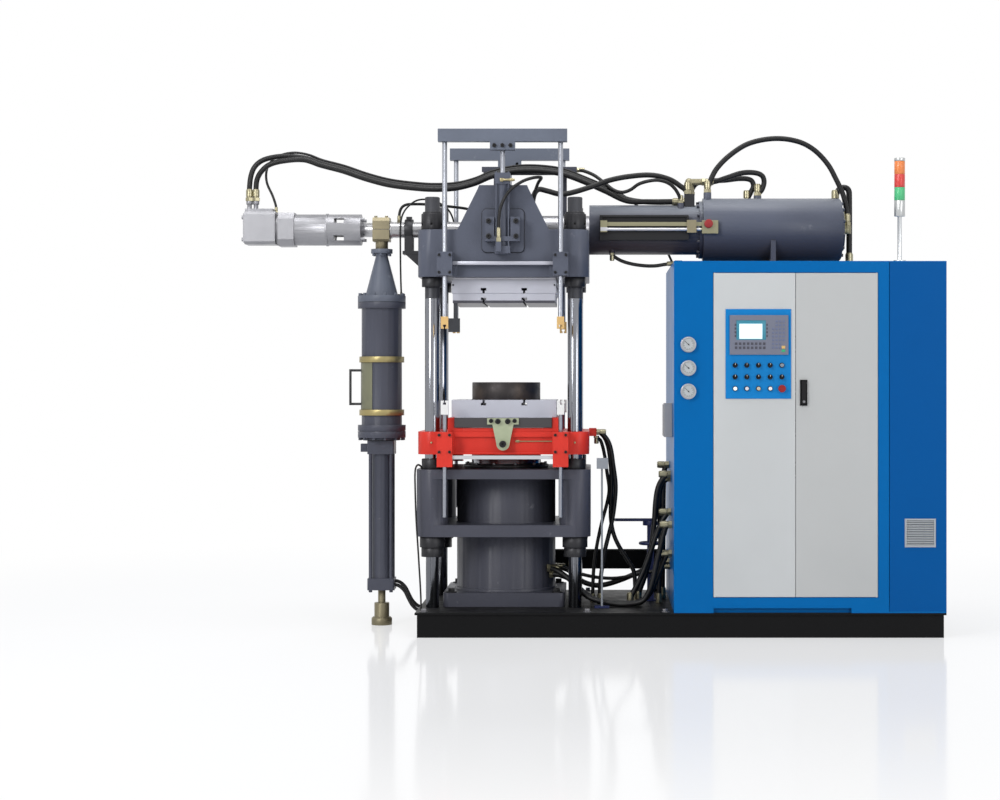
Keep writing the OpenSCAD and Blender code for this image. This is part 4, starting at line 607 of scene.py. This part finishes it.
key_grey = Finish("key_grey", (96, 104, 130), rough=0.5)
other_keys = ((0, 6), (0, 7), (3, 0), (3, 1))
mesh = bmesh.new()
for column in range(4):
    for row in range(8):
        if (column, row) not in other_keys:
            key(mesh, 1448 + column * 19, 1550 + row * 20, 13, 11)
make_piece(mesh, "terminal_keys", key_grey, "door_left")
key_dark = Finish("key_dark", (58, 58, 70), rough=0.5)
mesh = bmesh.new()
for n in range(8):
    for row in range(2):
        key(mesh, 1250 + n * 21.5, 1548 + row * 22, 13, 13)
for x in (1249, 1418):
    for n in range(4):
        key(mesh, x, 1612 + n * 20, 8, 11, 1.6)
make_piece(mesh, "function_keys", key_dark, "door_left")
for name, finish_name, rgb, z, high in (("start_key", "key_green", (40, 160, 110), 1532, 13),
                                        ("reset_key", "key_amber", (206, 168, 100), 1550, 15)):
    mesh = bmesh.new()
    key(mesh, 1500, z, 19, high, 2.0)
    make_piece(mesh, name, Finish(finish_name, rgb), "door_left")
knob_mark = Finish("knob_mark", (226, 226, 226), rough=0.5)
button_x, button_z, button_step = 1252, 1336, 62.5
mesh = bmesh.new()
for i in range(5):
    for j in (1, 2):
        if (i, j) != (4, 2):
            x, z = button_x + i * button_step, button_z + j * button_step
            slab(mesh, x - 1, x + 1, -679.6, -678.8, z + 2, z + 11, 0)
make_piece(mesh, "knob_marks", knob_mark, "door_left")
for name, rgb, i, j, glow in (
        ("lamp_cap", (238, 246, 246), 0, 0, 0.35), ("button_grey", (206, 206, 214), 1, 0, 0),
        ("button_beige", (190, 178, 160), 2, 0, 0), ("button_white", (228, 226, 226), 3, 0, 0),
        ("lamp_small", (118, 128, 140), 4, 2, 0)):
    cap = Finish(name, rgb, rough=0.3, coat=0.2)
    if glow:
        cap.vary("Emission Color", linear(rgb)).vary("Emission Strength", glow)
    mesh = bmesh.new()
    place = (button_x + i * button_step, -668, button_z + j * button_step)
    disc(mesh, place, forward, 10, 3.5, 28, 1.0)
    make_piece(mesh, name, cap, "door_left")
gauge_metal = Finish("gauge_metal", (176, 178, 182), rough=0.28, metal=0.9)
dress("pressure_gauges", gauge_metal, 0.001)
dial_white = Finish("dial_white", (176, 180, 182), rough=0.5, gloss=0.2)
dial_black = Finish("dial_black", (22, 22, 24), rough=0.5, gloss=0.2)
faces = bmesh.new()
ticks = bmesh.new()
gauge_x = 1002


def hand(mesh, y, z, angle, start, stop, thick, wide):
    """A needle or a scale line of a gauge, from start to stop along its radius."""
    seat = Matrix.Translation((gauge_x / 1000, y / 1000, z / 1000)) @ Matrix.Rotation(angle, 4, "Y")
    middle = Matrix.Translation((-(start + stop) / 2000, 0, 0))
    size = Matrix.Diagonal(((stop - start) / 1000, thick / 1000, wide / 1000, 1))
    bmesh.ops.create_cube(mesh, size=1, matrix=seat @ middle @ size)


for z in (1321, 1446, 1572):
    disc(faces, (gauge_x, -669.9, z), forward, 32.4, 1.2, 48, 0)
    for n in range(28):
        start, wide = (25, 0.8) if n % 3 else (22, 1.5)
        hand(ticks, -671.4, z, -math.radians(-45 + n * 10), start, 29, 0.6, wide)
    hand(ticks, -672.2, z, math.radians(38 + z % 7), -8, 24, 0.8, 2.2)
    disc(ticks, (gauge_x, -671.2, z), forward, 4, 1.6, 20, 0.2)
make_piece(faces, "gauge_dials", dial_white, "root")
make_piece(ticks, "gauge_ticks", dial_black, "root")

# beacon
# Signal tower on a chromed pole, screwed to the cabinet's roof: a grey foot and three ribbed
# plastic lenses in green, red and amber.
beacon_metal = Finish("beacon_metal", (196, 198, 200), rough=0.3, metal=0.8)
beacon_metal.blend(beacon_metal.axis("Z").over(2.262), (188, 190, 190))
dress("beacon_stem", beacon_metal, 0.001)
lens = Finish("lens", (66, 186, 120), rough=0.25, coat=0.5)
lens.blend(lens.axis("Z").over(2.4211), (214, 52, 44))
lens.blend(lens.axis("Z").over(2.4917), (232, 128, 56))
lens.relief((lens.axis("Z") * 900).sine(), 0.0006)
dress("beacon_lenses", lens, 0.001)

# service stand
# Limit switch on its rod, and the oil filter on its post with a handwheel, beside the press. They
# are painted navy blue, but for the bare die-cast switch.
navy = machine_paint("navy_paint", (36, 44, 84))
switch = navy.axis("X").under(0.62) * navy.axis("Z").over(0.1425)
navy.blend(switch, (138, 142, 148))
dress("service_stand", navy, 0.002)

# hoses
# Steel-braided rubber pressure hoses, cables and one rigid return pipe. Each leaves a fitting
# straight, sags under its own weight and ends in another fitting. Routes are those of the solids.
hose_rubber = Finish("hose_rubber", (18, 18, 19), rough=0.42, gloss=0.3)
grain = hose_rubber.noise(420, 2)
hose_rubber.blend(hose_rubber.noise(9, 3).clear(0.5, 0.72) * 0.4, (40, 40, 42))
hose_rubber.vary("Roughness", hose_rubber.noise(30, 2) * 0.25 + 0.3).relief(grain, 0.0004)
crimp_brass = Finish("crimp_brass", (160, 154, 128), rough=0.32, metal=0.9)
crimp_brass.vary("Roughness", crimp_brass.noise(60, 2) * 0.3 + 0.18)


def square_to(way):
    """The axis that a direction is nearest to: ends of hoses sit square in their fittings."""
    most = max(abs(c) for c in way)
    return Vector([math.copysign(1, c) if abs(c) == most else 0 for c in way])


def crimp(name, at, axis, radius, length):
    """Hexagon nut, neck, ferrule and lip pressed on the end of a hose, in metres."""
    mesh = bmesh.new()
    seat = Matrix.Translation(at) @ Vector(up).rotation_difference(axis).to_matrix().to_4x4()
    nut, neck = (1.55, 0.0, 0.30, 6), (1.18, 0.30, 0.08, 24)
    ferrule, lip = (1.32, 0.38, 0.54, 24), (1.16, 0.92, 0.08, 24)
    for size, start, height, sides in (nut, neck, ferrule, lip):
        step = seat @ Matrix.Translation((0, 0, (start + height / 2) * length))
        made = bmesh.ops.create_cone(mesh, cap_ends=True, segments=sides, radius1=radius * size,
                                     radius2=radius * size, depth=height * length, matrix=step)
        rims = [e for v in made["verts"] for e in v.link_edges if len(e.link_faces) == 2
                and e.calc_face_angle(0) > 1.2]
        bmesh.ops.bevel(mesh, geom=list(set(rims)), offset=radius * 0.08, segments=1, profile=0.5,
                        affect="EDGES", material=-1)
    data = bpy.data.meshes.new(name)
    mesh.to_mesh(data)
    mesh.free()
    data.materials.append(crimp_brass.material)
    piece = bpy.data.objects.new(name, data)
    collection.objects.link(piece)
    for face in data.polygons:
        face.use_smooth = len(face.vertices) == 4 and face.area > 1e-7
    data.set_sharp_from_angle(angle=math.radians(30))
    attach(piece, "root")
    return piece


def run_hose(name, route, radius, crimped=True, replaced=(), length=0.0):
    """One hose along its route, in millimetres, with its crimped ends. Length is a crimp's."""
    points = [Vector(place) / 1000 for place in route]
    curve = bpy.data.curves.new(name, "CURVE")
    curve.dimensions = "3D"
    curve.bevel_depth = radius / 1000
    curve.bevel_resolution = 4
    curve.resolution_u = 8
    curve.use_fill_caps = True
    spline = curve.splines.new("BEZIER")
    spline.bezier_points.add(len(points) - 1)
    last = len(points) - 1
    for i, point in enumerate(points):
        knot = spline.bezier_points[i]
        knot.co = point
        along = (points[min(i + 1, last)] - points[max(i - 1, 0)]).normalized()
        if i in (0, last):
            along = square_to(along)
        before = (point - points[i - 1]).length if i else 0
        after = (points[i + 1] - point).length if i < last else 0
        knot.handle_left = point - along * before / 3
        knot.handle_right = point + along * after / 3
    curve.materials.append(hose_rubber.material)
    piece = bpy.data.objects.new(name, curve)
    collection.objects.link(piece)
    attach(piece, "root")
    if replaced:
        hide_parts(*replaced)
    size = radius / 1000
    if crimped:
        for tail, first, second in (("_start", 0, 1), ("_end", -1, -2)):
            axis = square_to(points[second] - points[first])
            crimp(name + tail, points[first], axis, size, length or size * 4.5)


motor_route = [
    (-1454, 0, 2396), (-1454, 0, 2470), (-1446, 2, 2540), (-1425, 6, 2592), (-1382, 8, 2628),
    (-1310, 12, 2648), (-1237, 15, 2652), (-1140, 18, 2642), (-1050, 20, 2613), (-921, 22, 2579),
    (-795, 24, 2536), (-665, 26, 2502), (-537, 28, 2485), (-418, 30, 2477), (-290, 30, 2483),
    (-180, 30, 2510), (-84, 30, 2550), (40, 30, 2578), (174, 30, 2582), (313, 30, 2564),
    (434, 30, 2522), (563, 30, 2465), (680, 30, 2412), (800, 30, 2394), (1006, 30, 2394)]
run_hose("motor_hose_front", motor_route, 15, replaced=["motor_hoses"])
run_hose("motor_hose_back", [
    (-1417, 0, 2396), (-1417, 0, 2470), (-1410, -4, 2520), (-1385, -12, 2563), (-1338, -20, 2601),
    (-1253, -26, 2622)] + [(x, y - 45, z - 15) for x, y, z in motor_route[7:23]] + [
    (800, -15, 2392), (1006, -30, 2392)], 15)
run_hose("motor_cable", [
    (-1306, 20, 2333), (-1308, 24, 2370), (-1328, 30, 2430), (-1360, 38, 2500), (-1366, 44, 2560),
    (-1348, 48, 2615), (-1300, 50, 2656), (-1216, 48, 2676), (-1130, 46, 2665)] + [
    (x, y + 26, z + 22) for x, y, z in motor_route[8:20]] + [
    (434, 74, 2544), (563, 96, 2490), (680, 130, 2430), (780, 170, 2350), (860, 200, 2230),
    (920, 215, 2120), (955, 220, 2020)], 7)
run_hose("housing_hose", [
    (1136, -45, 2440), (1150, -44, 2500), (1190, -38, 2578), (1270, -28, 2658),
    (1375, -18, 2722), (1520, -8, 2750), (1650, -3, 2734), (1740, -2, 2688), (1820, 0, 2605),
    (1872, 0, 2510), (1904, 0, 2440), (1920, 0, 2380), (1928, 0, 2310), (1928, 0, 2257)],
         15, replaced=["line_hoses"])
run_hose("valve_hose", [
    (1106, 0, 2505), (1180, 2, 2508), (1250, 6, 2530), (1330, 12, 2556), (1400, 20, 2560),
    (1448, 28, 2545), (1462, 34, 2510), (1450, 38, 2465), (1425, 40, 2430)], 15)
run_hose("valve_hose_back", [
    (1048, 38, 2432), (1054, 38, 2470), (1082, 40, 2502), (1140, 46, 2514), (1240, 52, 2520),
    (1330, 58, 2530), (1388, 64, 2522), (1404, 68, 2490), (1388, 70, 2450), (1366, 70, 2396)], 15)
run_hose("head_hose", [
    (150, -250, 2206), (152, -245, 2300), (160, -220, 2400), (185, -180, 2445),
    (235, -155, 2440), (300, -135, 2425), (361, -122, 2431), (485, -100, 2470), (586, -85, 2507),
    (699, -70, 2530), (823, -55, 2538), (924, -42, 2515), (992, -42, 2472), (1012, -42, 2456),
    (1024, -42, 2432)], 15)
run_hose("shelf_hose", [
    (398, 150, 2588), (440, 132, 2580), (500, 90, 2550), (560, 40, 2500), (610, -5, 2458),
    (655, -30, 2444), (700, -42, 2456), (750, -62, 2488), (812, -82, 2504), (868, -92, 2505),
    (924, -92, 2484), (965, -78, 2440), (985, -65, 2380)], 10)
run_hose("return_pipe", [
    (1948, 60, 2030), (1948, 60, 2440), (1943, 61, 2466), (1928, 64, 2478), (1908, 70, 2478),
    (1888, 78, 2464), (1876, 83, 2435), (1872, 84, 2390)], 17)
run_hose("gland_hose", [
    (598, -60, 2100), (630, -60, 2066), (690, -62, 2042), (770, -66, 2028), (840, -74, 2026),
    (900, -86, 2034), (950, -95, 2037)], 10)
run_hose("clamp_hose", [
    (-607, 0, 2278), (-606, 2, 2320), (-598, 6, 2352), (-580, 10, 2372), (-550, 14, 2380),
    (-440, 28, 2380), (-343, 46, 2372), (-214, 74, 2356), (-140, 100, 2326), (-95, 125, 2275),
    (-80, 140, 2206)], 8)
run_hose("probe_cable", [
    (-300, 110, 2206), (-308, 104, 2300), (-345, 88, 2366), (-420, 52, 2404), (-500, 4, 2403),
    (-556, -34, 2360), (-585, -50, 2310), (-594, -54, 2250), (-595, -52, 2100),
    (-595, -30, 1960), (-595, 0, 1860)], 5)
run_hose("lift_hose", [
    (-19, -540, 2130), (-19, -540, 2200), (-17, -540, 2265), (-3, -540, 2332), (40, -538, 2406),
    (106, -528, 2456), (160, -505, 2478), (200, -470, 2486), (208, -425, 2484),
    (190, -385, 2462), (168, -355, 2400), (150, -340, 2300), (145, -335, 2206)], 9, length=0.076)
run_hose("stuffer_hose_a", [
    (-630, -25, 228), (-600, -25, 218), (-572, -25, 190), (-552, -25, 150), (-530, -25, 112),
    (-500, -25, 86), (-453, -25, 75)], 10, crimped=False, replaced=["bed_hoses"])
run_hose("stuffer_hose_b", [
    (-630, 25, 245), (-600, 25, 235), (-572, 25, 207), (-552, 25, 167), (-530, 25, 129),
    (-500, 25, 103), (-453, 25, 92)], 10, crimped=False)
run_hose("beam_hose_a", [
    (510, -120, 1092), (550, -120, 1076), (585, -120, 1020), (605, -120, 905), (618, -118, 794),
    (612, -115, 690), (598, -112, 595), (575, -108, 500), (556, -105, 420), (540, -102, 320),
    (530, -100, 223), (530, -100, 134)], 12)
run_hose("beam_hose_b", [
    (510, -80, 1092), (548, -80, 1070), (575, -78, 1010), (590, -76, 905), (595, -74, 794),
    (591, -72, 690), (592, -70, 600), (606, -66, 520), (636, -64, 450), (680, -62, 380),
    (719, -60, 310), (728, -60, 230), (728, -60, 134)], 12)
run_hose("beam_hose_c", [
    (510, -60, 1070), (535, -48, 1040), (556, -40, 960), (570, -36, 860), (582, -34, 767),
    (570, -32, 690), (540, -30, 578), (511, -30, 440), (496, -30, 330), (490, -30, 220),
    (490, -30, 134)], 10)
run_hose("cabinet_hose_a", [
    (925, -150, 857), (885, -150, 836), (856, -150, 785), (842, -150, 710), (834, -150, 597),
    (820, -150, 470), (802, -150, 365), (775, -150, 270), (750, -150, 200), (744, -150, 134)], 15)
run_hose("cabinet_hose_b", [
    (925, -210, 650), (888, -210, 620), (850, -210, 540), (812, -210, 430), (775, -210, 330),
    (735, -210, 240), (706, -210, 185), (698, -210, 134)], 15)
run_hose("cabinet_hose_c", [
    (925, -110, 830), (890, -108, 812), (868, -106, 760), (862, -104, 650), (868, -102, 500),
    (860, -100, 134)], 12)
run_hose("cabinet_hose_d", [
    (925, 130, 900), (902, 130, 880), (894, 130, 800), (892, 130, 500), (888, 130, 134)], 15)
run_hose("deck_hose_a", [
    (246, -150, 300), (300, -165, 296), (370, -195, 270), (440, -228, 205), (520, -250, 158),
    (600, -262, 149.5), (670, -275, 149.5), (740, -290, 156), (800, -308, 200), (850, -322, 310),
    (886, -330, 400), (904, -331, 424), (925, -332, 428)], 15)
run_hose("deck_hose_b", [
    (234, -168, 335), (300, -205, 318), (380, -255, 262), (460, -290, 188), (560, -318, 159),
    (680, -340, 150), (780, -352, 185), (850, -366, 420), (888, -371, 570), (906, -372, 586),
    (925, -372, 590)], 15)
run_hose("deck_hose_c", [
    (276, 30, 330), (400, 40, 288), (520, 46, 262), (640, 20, 262), (830, -30, 305),
    (925, -34, 330)], 10)
run_hose("deck_hose_d", [
    (265, 84, 320), (350, 94, 300), (430, 98, 235), (520, 100, 212), (640, 104, 240),
    (850, 90, 330), (925, 70, 350)], 15)
run_hose("bed_cable", [
    (-445, -395, 893), (-452, -402, 912), (-468, -425, 918), (-478, -445, 890),
    (-478, -452, 800), (-472, -455, 620), (-458, -455, 400), (-446, -450, 134)],
         5, crimped=False)

# floor, light and background
# White studio: a floor that keeps the shadow and a faint mirror image, and soft lamps. The
# background is white for the camera and in mirrors, and dimmer as a light.


def in_sight(tree):
    """1 for the camera and for what mirrors or glass show, 0 where it only gives light."""
    camera_ray, glossy_ray, through_ray = (
        tree.add("ShaderNodeLightPath", "Is " + kind + " Ray")
        for kind in ("Camera", "Glossy", "Transmission"))
    return (camera_ray + glossy_ray + through_ray).clear(0.0, 1.0)


def show(tree, share, plain, bright, output):
    """Shows the bright shader where share is 1 and the plain one where it is 0."""
    sockets = {0: share, 1: Shade(tree, plain.outputs[0]), 2: bright}
    tree.feed(tree.nodes[output], {"Surface": tree.add("ShaderNodeMixShader", 0, sockets)})


floor_white = Finish("floor_white", (226, 227, 230), rough=0.1)
tree = floor_white.tree
glare = tree.add("ShaderNodeEmission", 0, {"Color": (1, 1, 1, 1)})
reach = tree.add("ShaderNodeVectorMath", "Value", {0: floor_white.place}, operation="LENGTH")
share = in_sight(tree) * (reach.clear(3.0, 7.0) * 0.45 + 0.55)
show(tree, share, floor_white.shader, glare, "Material Output")
mesh = bmesh.new()
bmesh.ops.create_grid(mesh, x_segments=1, y_segments=1, size=60)
data = bpy.data.meshes.new("floor")
mesh.to_mesh(data)
mesh.free()
data.materials.append(floor_white.material)
floor = bpy.data.objects.new("floor", data)
floor.location = (0.5, 0, 0)
collection.objects.link(floor)

world = bpy.data.worlds.new("world")
bpy.context.scene.world = world
tree = Tree(world)
dim = tree.nodes["Background"]
tree.feed(dim, {"Color": (0.93, 0.96, 1.0, 1), "Strength": 0.55})
white = tree.add("ShaderNodeBackground", 0, {"Color": (1, 1, 1, 1), "Strength": 1.0})
show(tree, in_sight(tree), dim, white, "World Output")


def lamp(name, at, size, power, aim=(0.5, 0, 1.3)):
    """Soft rectangular lamp that points at the machine."""
    light = bpy.data.lights.new(name, "AREA")
    light.shape = "RECTANGLE"
    light.size, light.size_y = size
    light.energy = power
    made = bpy.data.objects.new(name, light)
    made.location = at
    made.rotation_euler = (Vector(aim) - Vector(at)).to_track_quat("-Z", "Y").to_euler()
    collection.objects.link(made)
    return made


lamp("key", (-5.0, -8.0, 5.2), (2.4, 4.0), 420)
lamp("fill", (6.5, -8.5, 3.2), (3.0, 4.0), 200)
lamp("top", (0.4, -1.0, 7.5), (6.0, 3.0), 260, (0.4, 0, 1.5))
rear = lamp("rear", (1.5, 8.5, 5.0), (5.0, 4.0), 300)
rear.visible_glossy = False
bpy.context.scene.view_settings.view_transform = "Standard"
